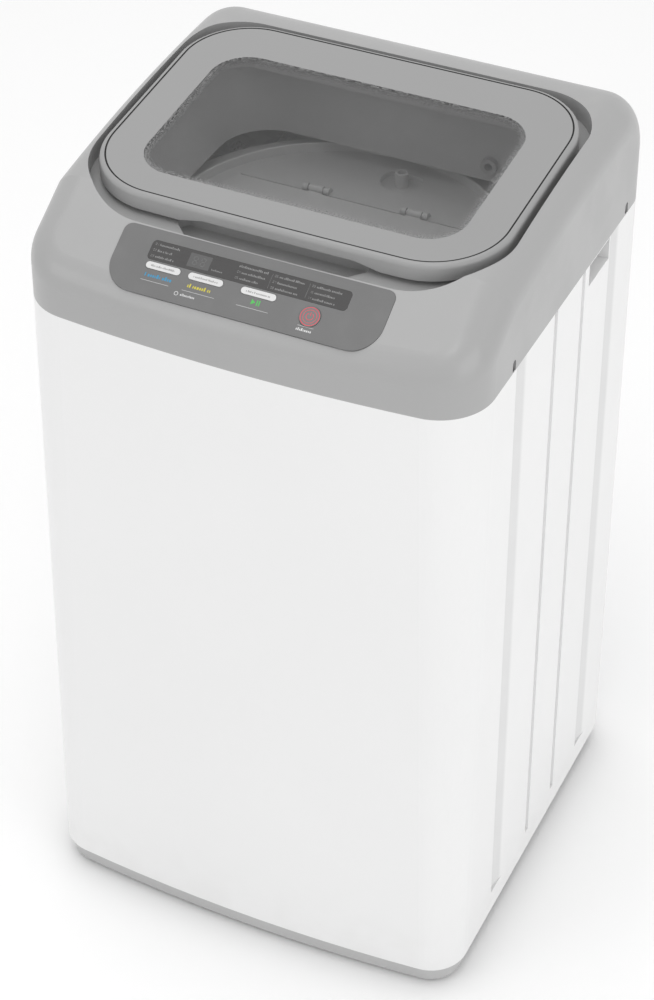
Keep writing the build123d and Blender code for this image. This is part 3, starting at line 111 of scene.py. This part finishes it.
def linear(value):
    """Linear intensity of an 8-bit display value."""
    value /= 255
    return value / 12.92 if value <= 0.04045 else ((value + 0.055) / 1.055) ** 2.4


def tone(red, green=None, blue=None):
    """Linear RGBA colour of 8-bit display values; one value alone is a grey."""
    green = red if green is None else green
    blue = red if blue is None else blue
    return (linear(red), linear(green), linear(blue), 1.0)


class Finish:
    """One Principled material and short names for the nodes that feed it."""

    def __init__(self, name, colour, roughness, metallic=0.0):
        self.material = bpy.data.materials.new(name)
        self.material.use_nodes = True
        self.tree = self.material.node_tree
        self.shader = self.tree.nodes["Principled BSDF"]
        self.colour = colour
        self.set("Base Color", colour)
        self.set("Roughness", roughness)
        self.set("Metallic", metallic)
        self.place = self.tree.nodes.new("ShaderNodeTexCoord").outputs["Object"]

    def set(self, socket, value):
        """Gives a socket of the shader a plain value."""
        self.shader.inputs[socket].default_value = value

    def link(self, source, target):
        """Joins an output to an input, or gives the input a plain value."""
        if isinstance(source, (int, float, tuple)):
            target.default_value = source
        else:
            self.tree.links.new(source, target)

    def feed(self, socket, source):
        """Drives a socket of the shader."""
        self.link(source, self.shader.inputs[socket])

    def math(self, operation, a, b=0.0, clamp=False):
        """Result of one arithmetic step."""
        node = self.tree.nodes.new("ShaderNodeMath")
        node.operation = operation
        node.use_clamp = clamp
        self.link(a, node.inputs[0])
        self.link(b, node.inputs[1])
        return node.outputs[0]

    def scaled(self, x, y, z):
        """Object coordinates stretched by a factor along each axis."""
        node = self.tree.nodes.new("ShaderNodeMapping")
        node.inputs["Scale"].default_value = (x, y, z)
        self.link(self.place, node.inputs["Vector"])
        return node.outputs[0]

    def noise(self, scale, detail=2.0, place=None, roughness=0.5):
        """Cloud noise from 0 to 1."""
        node = self.tree.nodes.new("ShaderNodeTexNoise")
        node.inputs["Scale"].default_value = scale
        node.inputs["Detail"].default_value = detail
        node.inputs["Roughness"].default_value = roughness
        self.link(place or self.place, node.inputs["Vector"])
        return node.outputs["Fac"]

    def cells(self, scale, feature="F1", output="Distance"):
        """Cell noise."""
        node = self.tree.nodes.new("ShaderNodeTexVoronoi")
        node.feature = feature
        node.inputs["Scale"].default_value = scale
        self.link(self.place, node.inputs["Vector"])
        return node.outputs[output]

    def spread(self, value, low, high, to_low=0.0, to_high=1.0):
        """Value moved smoothly from one range to another and held inside it."""
        node = self.tree.nodes.new("ShaderNodeMapRange")
        node.interpolation_type = "SMOOTHSTEP"
        for index, source in enumerate((value, low, high, to_low, to_high)):
            self.link(source, node.inputs[index])
        return node.outputs[0]

    def mix(self, share, a, b):
        """Colour between two colours."""
        node = self.tree.nodes.new("ShaderNodeMix")
        node.data_type = "RGBA"
        self.link(share, node.inputs[0])
        self.link(a, node.inputs[6])
        self.link(b, node.inputs[7])
        return node.outputs[2]

    def bump(self, height, distance, strength=1.0):
        """Surface relief of a given depth in metres."""
        node = self.tree.nodes.new("ShaderNodeBump")
        node.inputs["Strength"].default_value = strength
        node.inputs["Distance"].default_value = distance
        self.link(height, node.inputs["Height"])
        self.link(node.outputs[0], self.shader.inputs["Normal"])

    def parts(self):
        """The three object coordinates."""
        node = self.tree.nodes.new("ShaderNodeSeparateXYZ")
        self.link(self.place, node.inputs[0])
        return node.outputs

    def vary(self, amount, scale=6.0):
        """Slow change of tone across the moulding, and returns the colour it gives."""
        dark = tuple(c * (1 - amount) for c in self.colour[:3]) + (1.0,)
        light = tuple(min(1.0, c * (1 + amount)) for c in self.colour[:3]) + (1.0,)
        return self.mix(self.spread(self.noise(scale, 3), 0.3, 0.7), dark, light)


# Finishes

def powder_coat():
    """White powder-coated sheet: orange peel, dust and scuffs low down, and painted shade darkening the wide
    channels.
    """
    f = Finish("powder_coat", tone(232), 0.34)
    f.set("Coat Weight", 0.18)
    f.set("Coat Roughness", 0.22)
    x, y, z = f.parts()
    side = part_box("cabinet_wrap")[1][0]
    sunk = f.spread(f.math("ABSOLUTE", x), side - 0.0001, side - 0.0010)
    along = 0.0
    for front, rear in WIDE_CHANNELS:
        between = f.math("MULTIPLY", f.math("GREATER_THAN", y, front), f.math("LESS_THAN", y, rear))
        along = f.math("ADD", along, between)
    patches = f.spread(f.noise(12, 4), 0.2, 0.8, 0.85, 1.0)
    # Painted shade: inside the wide channels the colour is darkened towards grey 214, in uneven patches.
    painted_channel_shade = f.math("MULTIPLY", f.math("MULTIPLY", sunk, along), patches)
    dust = f.math("MULTIPLY", f.spread(z, 0.11, 0.025), f.spread(f.noise(38, 4), 0.35, 0.7))
    streak = f.spread(f.noise(9, 5, f.scaled(30, 30, 3), 0.62), 0.67, 0.76)
    scuff = f.math("MULTIPLY", streak, f.spread(z, 0.42, 0.05, 0.0, 0.3))
    marks = f.math("ADD", f.math("MULTIPLY", dust, 0.05), f.math("MULTIPLY", scuff, 0.06), True)
    f.feed("Base Color", f.mix(painted_channel_shade, f.mix(marks, f.vary(0.007, 4), tone(176, 173, 166)), tone(214)))
    peel = f.noise(620, 2)
    rough = f.math("ADD", f.spread(f.noise(24, 3), 0.3, 0.7, 0.30, 0.37), f.math("MULTIPLY", marks, 0.5))
    f.feed("Roughness", rough)
    f.bump(peel, 0.00006, 0.5)
    return f.material


def grained_plastic(name, colour, roughness, grain=0.00005, spread=0.018):
    """Spark-eroded moulding with slow tone changes and slightly polished patches."""
    f = Finish(name, colour, roughness)
    f.feed("Base Color", f.vary(spread, 9))
    f.feed("Roughness", f.spread(f.noise(30, 4), 0.3, 0.75, roughness - 0.05, roughness + 0.07))
    texture = f.math("ADD", f.noise(1500, 2), f.math("MULTIPLY", f.cells(2100), 0.5))
    f.bump(texture, grain, 0.55)
    return f.material


def collar_plastic():
    """Grey collar moulding: fine grain, handling sheen on the shoulder and dust settled in the recess."""
    f = Finish("collar_plastic", tone(163), 0.36)
    f.set("Coat Weight", 0.22)
    f.set("Coat Roughness", 0.14)
    normal = f.tree.nodes.new("ShaderNodeNewGeometry").outputs["Normal"]
    split = f.tree.nodes.new("ShaderNodeSeparateXYZ")
    f.link(normal, split.inputs[0])
    flat = f.spread(split.outputs[2], 0.9, 0.995)
    dust = f.math("MULTIPLY", flat, f.spread(f.noise(46, 5), 0.42, 0.78, 0.0, 0.20))
    f.feed("Base Color", f.mix(dust, f.vary(0.015, 7), tone(182, 181, 179)))
    f.feed("Roughness", f.math("ADD", f.spread(f.noise(20, 4), 0.3, 0.75, 0.32, 0.42), dust))
    f.bump(f.math("ADD", f.noise(1300, 2), f.math("MULTIPLY", f.cells(1900), 0.5)), 0.00006, 0.55)
    return f.material


def window_distance(f):
    """Signed distance in metres to the edge of the lid's clear window, positive outside."""
    x, y, _ = f.parts()
    middle = (WINDOW_FRONT_Y + WINDOW_REAR_Y) / 2
    half_depth = (WINDOW_REAR_Y - WINDOW_FRONT_Y) / 2
    dx = f.math("SUBTRACT", f.math("ABSOLUTE", x), WINDOW_HALF_WIDTH - WINDOW_RADIUS)
    dy = f.math("ABSOLUTE", f.math("SUBTRACT", y, middle))
    dy = f.math("SUBTRACT", dy, half_depth - WINDOW_RADIUS)
    ox = f.math("MAXIMUM", dx, 0.0)
    oy = f.math("MAXIMUM", dy, 0.0)
    outer = f.math("SQRT", f.math("ADD", f.math("MULTIPLY", ox, ox), f.math("MULTIPLY", oy, oy)))
    inner = f.math("MINIMUM", f.math("MAXIMUM", dx, dy), 0.0)
    return f.math("SUBTRACT", f.math("ADD", outer, inner), WINDOW_RADIUS)


def lid_glass():
    """Tempered glass with a fired grey border that breaks up into speckles at the clear window."""
    f = Finish("lid_glass", tone(151), 0.07)
    f.set("IOR", 1.5)
    f.set("Coat Weight", 0.4)
    f.set("Coat Roughness", 0.04)
    distance = window_distance(f)
    fade = f.spread(distance, -FADE_WIDTH, 0.0005)
    speckle = f.math("SUBTRACT", 1.15, f.math("MULTIPLY", f.cells(1 / SPECKLE_SIZE), 1.3))
    band = f.math("MULTIPLY", fade, speckle, True)
    border = f.math("MAXIMUM", band, f.math("GREATER_THAN", distance, 0.0), True)
    smear = f.spread(f.noise(11, 5, f.scaled(1.2, 0.8, 1)), 0.45, 0.8, 0.0, 0.05)
    f.feed("Alpha", f.math("MAXIMUM", border, f.math("ADD", smear, 0.20), True))
    f.feed("Base Color", f.mix(border, tone(106), f.vary(0.01, 5)))
    f.feed("Roughness", f.spread(f.noise(16, 5), 0.4, 0.75, 0.05, 0.11))
    return f.material


def fascia_plastic():
    """Dark satin fascia with fine grain and a faint rub by the buttons."""
    f = Finish("fascia_plastic", tone(108), 0.40)
    rub = f.spread(f.noise(55, 4), 0.45, 0.75)
    f.feed("Base Color", f.mix(f.math("MULTIPLY", rub, 0.10), f.vary(0.012, 12), tone(130)))
    f.feed("Roughness", f.spread(f.noise(34, 3), 0.3, 0.7, 0.34, 0.46))
    f.bump(f.noise(2000, 2), 0.00003, 0.5)
    return f.material


def smoked_plastic():
    """Glossy dark strip over the display, with hairline wiping marks."""
    f = Finish("smoked_plastic", tone(36, 34, 34), 0.16)
    f.set("Coat Weight", 0.2)
    f.set("Coat Roughness", 0.06)
    wipe = f.noise(30, 5, f.scaled(2, 30, 30))
    f.feed("Roughness", f.spread(wipe, 0.4, 0.7, 0.12, 0.24))
    f.feed("Base Color", f.vary(0.03, 40))
    return f.material


def rubber(name, grey):
    """Matt rubber with a fine bloom."""
    f = Finish(name, tone(grey), 0.78)
    f.feed("Base Color", f.mix(f.spread(f.noise(90, 4), 0.4, 0.8, 0.0, 0.35), tone(grey), tone(grey + 24)))
    f.bump(f.noise(1200, 3), 0.00008, 0.6)
    return f.material


def brushed_steel(name, colour, roughness, stretch):
    """Steel brushed along one direction; stretch gives the scale of the lines along each axis."""
    f = Finish(name, colour, roughness, 1.0)
    f.set("Anisotropic", 0.5)
    lines = f.noise(14, 4, f.scaled(*stretch), 0.6)
    f.feed("Roughness", f.spread(lines, 0.3, 0.7, roughness - 0.08, roughness + 0.10))
    f.feed("Base Color", f.vary(0.04, 12))
    f.bump(lines, 0.00002, 0.4)
    return f.material


def zinc_plate():
    """Galvanised sheet with its crystal pattern and dull oxide patches."""
    f = Finish("zinc_plate", tone(186, 188, 190), 0.42, 0.9)
    crystals = f.cells(110, output="Color")
    grey = f.tree.nodes.new("ShaderNodeRGBToBW")
    f.link(crystals, grey.inputs[0])
    pattern = f.spread(grey.outputs[0], 0.2, 0.8)
    oxide = f.spread(f.noise(16, 5), 0.5, 0.8, 0.0, 0.45)
    plated = f.mix(pattern, tone(176, 178, 181), tone(197, 199, 201))
    f.feed("Base Color", f.mix(oxide, plated, tone(158, 158, 155)))
    f.feed("Roughness", f.math("ADD", f.spread(grey.outputs[0], 0.2, 0.8, 0.34, 0.50), oxide, True))
    f.bump(f.noise(420, 3), 0.00004, 0.4)
    return f.material


def cast_alloy():
    """Rough as-cast aluminium."""
    f = Finish("cast_alloy", tone(176, 177, 178), 0.52, 0.85)
    f.feed("Base Color", f.vary(0.06, 30))
    f.bump(f.noise(520, 4), 0.00018, 0.8)
    return f.material


def painted_steel():
    """Black semi-gloss paint over pressed steel."""
    f = Finish("painted_steel", tone(66, 66, 68), 0.38)
    f.feed("Base Color", f.vary(0.10, 25))
    f.feed("Roughness", f.spread(f.noise(40, 4), 0.3, 0.75, 0.30, 0.48))
    f.bump(f.noise(480, 3), 0.00007, 0.6)
    return f.material


def solder_mask():
    """Green circuit board lacquer with faint tracks."""
    f = Finish("solder_mask", tone(30, 92, 52), 0.30)
    tracks = f.spread(f.noise(260, 1, f.scaled(1, 0.15, 0.15)), 0.48, 0.54, 0.0, 0.5)
    f.feed("Base Color", f.mix(tracks, tone(26, 84, 46), tone(56, 128, 78)))
    f.bump(tracks, 0.00004, 0.5)
    return f.material


def wiped_ink(name, colour, roughness=0.45):
    """Printed ink with tiny gaps where wiping has thinned it."""
    f = Finish(name, colour, roughness)
    worn = f.spread(f.noise(900, 3), 0.60, 0.80, 0.0, 0.30)
    f.feed("Base Color", f.mix(worn, colour, tone(150)))
    f.feed("Roughness", f.spread(f.noise(300, 2), 0.3, 0.7, roughness - 0.06, roughness + 0.08))
    return f.material


def studio_floor():
    """Plain pale floor."""
    f = Finish("studio_floor", tone(254), 0.85)
    f.feed("Roughness", f.spread(f.noise(3, 2), 0.3, 0.7, 0.82, 0.9))
    return f.material


def dress(frame):
    """Gives every CAD node its finish."""
    tub = grained_plastic("tub_plastic", tone(192), 0.42, 0.00007)
    white = grained_plastic("white_plastic", tone(228), 0.34, 0.00003, 0.01)
    button = grained_plastic("button_plastic", tone(214), 0.33, 0.00002, 0.01)
    dark = grained_plastic("dark_plastic", tone(58, 57, 57), 0.36)
    inner = grained_plastic("inner_lid_plastic", tone(199), 0.38, 0.00006)
    grey = grained_plastic("grip_plastic", tone(186), 0.42, 0.00006)
    frit = grained_plastic("lid_plastic", tone(152), 0.33, 0.00004)
    drum = brushed_steel("drum_steel", tone(196, 197, 199), 0.24, (1, 1, 60))
    shaft = brushed_steel("shaft_steel", tone(188, 189, 191), 0.22, (1, 1, 120))
    spring = brushed_steel("spring_steel", tone(150, 151, 153), 0.34, (20, 20, 20))
    zinc = zinc_plate()
    cast = cast_alloy()
    coats = {
        powder_coat(): ["cabinet_wrap"],
        collar_plastic(): ["top_collar"],
        frit: ["lid_frame"],
        grey: ["hinge_brackets"],
        grained_plastic("spout_plastic", tone(150), 0.42, 0.00003): ["fill_spout"],
        grained_plastic("plinth_plastic", tone(184), 0.44, 0.00007): ["base_tray"],
        lid_glass(): ["lid_glass"],
        rubber("gasket_rubber", 12): ["glass_gasket", "lid_bumpers", "water_seal", "drive_belt"],
        rubber("hose_rubber", 58): ["drain_hose"],
        rubber("foot_rubber", 48): ["fixed_feet", "levelling_foot"],
        fascia_plastic(): ["control_fascia"],
        smoked_plastic(): ["display_window"],
        dark: ["display_module", "lid_switch", "lid_magnet", "cord_gland", "drain_motor",
               "pressure_sensor"],
        button: ["water_level_button", "program_button", "start_pause_button"],
        grained_plastic("power_plastic", tone(114), 0.36, 0.00002): ["power_button"],
        white: ["carry_handles", "board_housing", "inlet_valve", "drain_valve", "drain_elbow",
                "pressure_tube", "motor_capacitor", "basket_base", "balance_ring", "lint_filter"],
        tub: ["outer_tub", "tub_cover", "pulsator"],
        inner: ["inner_lid"],
        drum: ["spin_basket"],
        shaft: ["spin_tube", "pulsator_shaft", "shaft_bearings", "lid_hinge_pins", "pulsator_screw"],
        spring: ["suspension_springs", "suspension_rods"],
        zinc: ["rear_panel", "rear_cover", "bottom_guard", "case_screws", "drive_bracket",
               "suspension_brackets"],
        cast: ["clutch_housing", "basket_flange", "drive_pulley", "motor_pulley"],
        painted_steel(): ["motor"],
        solder_mask(): ["control_board"],
    }
    done = set()
    for material, names in coats.items():
        for name in names:
            node = frame["nodes"][name]
            if not node.material_slots:
                node.data.materials.append(material)
            for slot in node.material_slots:
                slot.material = material
            done.add(name)
    left = sorted(set(frame["nodes"]) - done)
    if left:
        raise ValueError(f"these nodes have no finish: {left}")


# Printing on the control panel

class Panel:
    """The sloped control panel: turns millimetres across and up the slope into points in space."""

    def __init__(self, frame):
        inward = next(j["axis"] for j in frame["joints"] if j["name"] == "power_press")
        self.out = -Vector(inward).normalized()
        self.across = Vector((1, 0, 0))
        self.up = self.out.cross(self.across)
        corners = [v.co for v in frame["nodes"]["control_fascia"].data.vertices]
        self.top = max(c.dot(self.out) for c in corners)
        self.ridge = max(c.dot(self.up) for c in corners) + RIDGE_ABOVE_FASCIA * MM

    def point(self, u, v, lift):
        """Point at u across and v up the slope from its ridge, lift above the fascia's face."""
        return (self.across * (u * MM) + self.up * (self.ridge + v * MM)
                + self.out * (self.top + lift * MM))


def add_outline(solid, rail, outline):
    """Adds a thin closed solid with the given outline."""
    lower, upper = rail(outline, 0), rail(outline, PRINT_THICKNESS)
    solid.faces.new(upper)
    solid.faces.new(lower[::-1])
    for i in range(len(outline)):
        k = (i + 1) % len(outline)
        solid.faces.new((lower[i], lower[k], upper[k], upper[i]))


def add_band(solid, rail, outer, inner, closed):
    """Adds a thin closed solid between two rows of points, a full ring or an open arc."""
    outer_low, inner_low = rail(outer, 0), rail(inner, 0)
    outer_top, inner_top = rail(outer, PRINT_THICKNESS), rail(inner, PRINT_THICKNESS)
    count = len(outer)
    for i in range(count if closed else count - 1):
        k = (i + 1) % count
        solid.faces.new((outer_low[i], inner_low[i], inner_low[k], outer_low[k]))
        solid.faces.new((outer_top[i], outer_top[k], inner_top[k], inner_top[i]))
        solid.faces.new((outer_low[i], outer_low[k], outer_top[k], outer_top[i]))
        solid.faces.new((inner_low[k], inner_low[i], inner_top[i], inner_top[k]))
    if not closed:
        for i in (0, -1):
            solid.faces.new((outer_low[i], outer_top[i], inner_top[i], inner_low[i]))


def print_shapes(panel, name, shapes, material, body, surface=0.0):
    """Raised ink: each shape, an outline or a band in panel millimetres, is a thin closed solid."""
    mesh = bpy.data.meshes.new(name)
    solid = bmesh.new()

    def rail(points, height):
        """Vertices of a row of panel points at a height in the ink."""
        level = surface + PRINT_LIFT + height
        return [solid.verts.new(panel.point(u, v, level)) for u, v in points]

    for shape in shapes:
        if isinstance(shape, tuple):
            add_band(solid, rail, *shape)
        else:
            add_outline(solid, rail, shape)
    bmesh.ops.recalc_face_normals(solid, faces=solid.faces)
    solid.to_mesh(mesh)
    solid.free()
    piece = bpy.data.objects.new(name, mesh)
    bpy.context.scene.collection.objects.link(piece)
    mesh.materials.append(material)
    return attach(piece, body)


def bar(left, right, v, height, corner=None):
    """Rounded bar."""
    corner = min(height / 2, (right - left) / 2) if corner is None else corner
    outline = []
    top, bottom = v + height / 2 - corner, v - height / 2 + corner
    for cx, cy, start in ((right - corner, top, 0), (left + corner, top, 90),
                          (left + corner, bottom, 180), (right - corner, bottom, 270)):
        for step in range(4):
            angle = math.radians(start + 30 * step)
            outline.append((cx + corner * math.cos(angle), cy + corner * math.sin(angle)))
    return outline


def word(left, right, v, height, seed):
    """Greeked word: a row of small blocks of uneven height that stands for letters without being any."""
    chance = random.Random(seed)
    shapes, u = [], left
    while u < right - height * 0.3:
        width = height * chance.choice((0.26, 0.36, 0.42, 0.48))
        width = min(width, right - u)
        tall = height * chance.choice((0.66, 0.66, 0.66, 1.0))
        shapes.append(bar(u, u + width, v - height / 2 + tall / 2, tall, height * 0.08))
        u += width + height * 0.22
        if chance.random() < 0.12:
            u += height * 0.35
    return shapes


# Lit strokes of each digit: top, upper left, upper right, middle, lower left, lower right, bottom
SEGMENTS = {
    "0": "1110111", "1": "0010010", "2": "1011101", "3": "1011011", "4": "0111010",
    "5": "1101011", "6": "1101111", "7": "1010010", "8": "1111111", "9": "1111011",
}


def digit(u, v, height, figure):
    """Seven-stroke numeral with its left edge at u and its middle at v."""
    width, stroke = height * 0.55, height * 0.14
    half = height / 2
    rows = (half - stroke / 2, 0.0, -half + stroke / 2)
    on = [flag == "1" for flag in SEGMENTS[figure]]
    shapes = []
    for flag, row in ((on[0], rows[0]), (on[3], rows[1]), (on[6], rows[2])):
        if flag:
            shapes.append(bar(u + stroke * 0.6, u + width - stroke * 0.6, v + row, stroke, stroke * 0.3))
    uprights = ((on[1], 0, 1), (on[2], 1, 1), (on[4], 0, -1), (on[5], 1, -1))
    for flag, right, upper in uprights:
        if flag:
            left = u + (width - stroke) * right
            middle = v + upper * (half / 2)
            shapes.append(bar(left, left + stroke, middle, half - stroke * 1.3, stroke * 0.3))
    return shapes


def numbered_row(left, right, v, height, number, seed):
    """Legend row: a two-figure number and a greeked word."""
    shapes = []
    for index, figure in enumerate(f"{number:02d}"):
        shapes += digit(left + index * height * 0.78, v, height, figure)
    return shapes + word(left + height * 2.0, right, v, height, seed)


def ring(u, v, outer, inner, start=0, sweep=360, steps=48):
    """Flat arc or full ring: its outer and inner rows of points, and whether it closes."""
    closed = sweep == 360
    angles = [math.radians(start + sweep * i / steps) for i in range(steps if closed else steps + 1)]
    rows = [[(u + r * math.cos(t), v + r * math.sin(t)) for t in angles] for r in (outer, inner)]
    return [(rows[0], rows[1], closed)]


def strip_legends(panel):
    """White legends and dividers on the dark strip."""
    rows, number, seed = [], 1, 10
    for left, right, lines in ((-95, -68, (-15.2, -20.9, -26.6)), (-14, 16, (-20.6, -26.2)),
                               (20, 51, (-15.6, -21.2, -26.8)), (55, 86, (-15.6, -21.2, -26.8))):
        for index, v in enumerate(lines):
            rows += numbered_row(left, right - 3 - (index * 5) % 8, v, LEGEND_HEIGHT, number, seed)
            number, seed = number + 1, seed + 1
    rows += word(-14, 14, TITLE_V, 2.4, 5)
    rows += word(-37, -26, -25.2, 1.7, 6)
    rows += [bar(left, left + 0.2, DIVIDER_V, DIVIDER_HEIGHT, 0.08) for left in (17.45, 52.65)]
    ink = wiped_ink("legend_ink", tone(132))
    print_shapes(panel, "strip_legends", rows, ink, "cabinet", -STRIP_SINK)


def display_prints(panel):
    """Lighter display window in the strip, with its unlit two-figure segments."""
    pane = Finish("display_pane", tone(80), 0.18)
    pane.feed("Base Color", pane.vary(0.04, 60))
    print_shapes(panel, "display_pane", [bar(-60.4, -39.6, DISPLAY_V, 13.0, 0.5)], pane.material, "cabinet",
                 -STRIP_SINK)
    ghost = wiped_ink("segment_ghost", tone(92), 0.3)
    shapes = digit(-56.4, DISPLAY_V, 8.6, "8") + digit(-49.0, DISPLAY_V, 8.6, "8")
    print_shapes(panel, "display_segments", shapes, ghost, "cabinet",
                 -STRIP_SINK + PRINT_THICKNESS)


def button_prints(panel):
    """Greeked grey legends on the long buttons, each riding on its own button."""
    ink = wiped_ink("button_ink", tone(152))
    places = (("water_level_button", -92.5, -65.5, 21), ("program_button", -51.5, -24.5, 22),
              ("start_pause_button", -1.2, 25.6, 23))
    for body, left, right, seed in places:
        shapes = word(left + 2, right - 2, BUTTON_LEGEND_V, 1.8, seed)
        print_shapes(panel, body.replace("_button", "_legend"), shapes, ink, body, BUTTON_PROUD)


def fascia_prints(panel):
    """Coloured labels, icons and hairlines on the fascia."""
    light = wiped_ink("hairline_ink", tone(214))
    lines = ((-95, -68, HAIRLINE_V), (-55, -24, HAIRLINE_V), (-3, 27, HAIRLINE_V), (56, 71, POWER_HAIRLINE_V))
    prints = {
        "water_label": (wiped_ink("blue_ink", tone(52, 142, 184)), word(-93, -66, LABEL_V, 3.6, 31)),
        "program_label": (wiped_ink("yellow_ink", tone(206, 194, 62)), word(-51.6, -28, LABEL_V, 3.6, 32)),
        "start_label": (wiped_ink("green_ink", tone(78, 190, 84)), start_icon(*START_ICON, 3.4)),
        "power_label": (light, word(56, 71, POWER_LABEL_V, 2.6, 33)),
        "fascia_hairlines": (light, [bar(a, b, v, HAIRLINE_HEIGHT) for a, b, v in lines]),
        "lock_label": (light, ring(-58.5, LOCK_V, 1.9, 1.4) + word(-54.5, -40, LOCK_V, 2.3, 34)),
    }
    for name, (ink, shapes) in prints.items():
        print_shapes(panel, name, shapes, ink, "cabinet")


def start_icon(u, v, size):
    """Play triangle with two pause bars."""
    return [[(u - size, v + size * 0.75), (u - size, v - size * 0.75), (u + size * 0.1, v)],
            bar(u + size * 0.45, u + size * 0.75, v, size * 1.5, 0.1),
            bar(u + size * 1.05, u + size * 1.35, v, size * 1.5, 0.1)]


def power_prints(panel):
    """Red ring and stand-by symbol on the power button."""
    u, v = POWER_CENTRE
    shapes = ring(u, v, 8.8, 8.15) + ring(u, v, 6.3, 5.85) + ring(u, v, 3.5, 2.95, 120, 300, 32)
    shapes.append(bar(u - 0.3, u + 0.3, v + 2.3, 3.6))
    ink = wiped_ink("red_ink", tone(222, 70, 88))
    print_shapes(panel, "power_symbol", shapes, ink, "power_button", BUTTON_PROUD)


# Stage

def make_floor():
    """Wide pale floor under the machine."""
    mesh = bpy.data.meshes.new("studio_floor")
    sheet = bmesh.new()
    bmesh.ops.create_grid(sheet, x_segments=2, y_segments=2, size=FLOOR_HALF_SIZE)
    sheet.to_mesh(mesh)
    sheet.free()
    floor = bpy.data.objects.new("studio_floor", mesh)
    bpy.context.scene.collection.objects.link(floor)
    mesh.materials.append(studio_floor())


def area_light(name, place, target, size, power):
    """Square soft light aimed at a point."""
    lamp = bpy.data.lights.new(name, "AREA")
    lamp.shape = "SQUARE"
    lamp.size = size
    lamp.energy = power
    holder = bpy.data.objects.new(name, lamp)
    holder.location = place
    holder.rotation_euler = (Vector(target) - Vector(place)).to_track_quat("-Z", "Y").to_euler()
    bpy.context.scene.collection.objects.link(holder)


def make_light():
    """Bright soft surround, a large overhead, two side lights and a small one on the front shoulder."""
    world = bpy.data.worlds.new("studio")
    world.use_nodes = True
    background = world.node_tree.nodes["Background"]
    background.inputs["Color"].default_value = (1, 1, 1, 1)
    background.inputs["Strength"].default_value = SURROUND_STRENGTH
    bpy.context.scene.world = world
    area_light("overhead", (-0.5, 0.15, 3.4), LIGHT_TARGET, 2.6, 22)
    area_light("right_fill", (3.2, -1.2, 1.4), LIGHT_TARGET, 2.2, 21)
    area_light("front_left", (-2.2, -3.0, 1.9), LIGHT_TARGET, 1.8, 12)
    area_light("shoulder", (0.6, -1.2, 3.0), SHOULDER_TARGET, 0.6, 3.6)
    bpy.context.scene.view_settings.view_transform = "Standard"


def make_camera():
    """Camera above and to the front right, looking down at the machine."""
    data = bpy.data.cameras.new("camera")
    data.sensor_width = CAMERA_SENSOR
    data.lens = CAMERA_LENS
    data.shift_y = CAMERA_SHIFT_Y
    camera = bpy.data.objects.new("camera", data)
    bpy.context.scene.collection.objects.link(camera)
    camera.location = CAMERA_PLACE
    camera.rotation_mode = "QUATERNION"
    camera.rotation_quaternion = Vector(CAMERA_FORWARD).to_track_quat("-Z", "Y")
    bpy.context.scene.camera = camera


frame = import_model()
make_camera()
make_light()
make_floor()
dress(frame)
panel = Panel(frame)
strip_legends(panel)
display_prints(panel)
button_prints(panel)
fascia_prints(panel)
power_prints(panel)
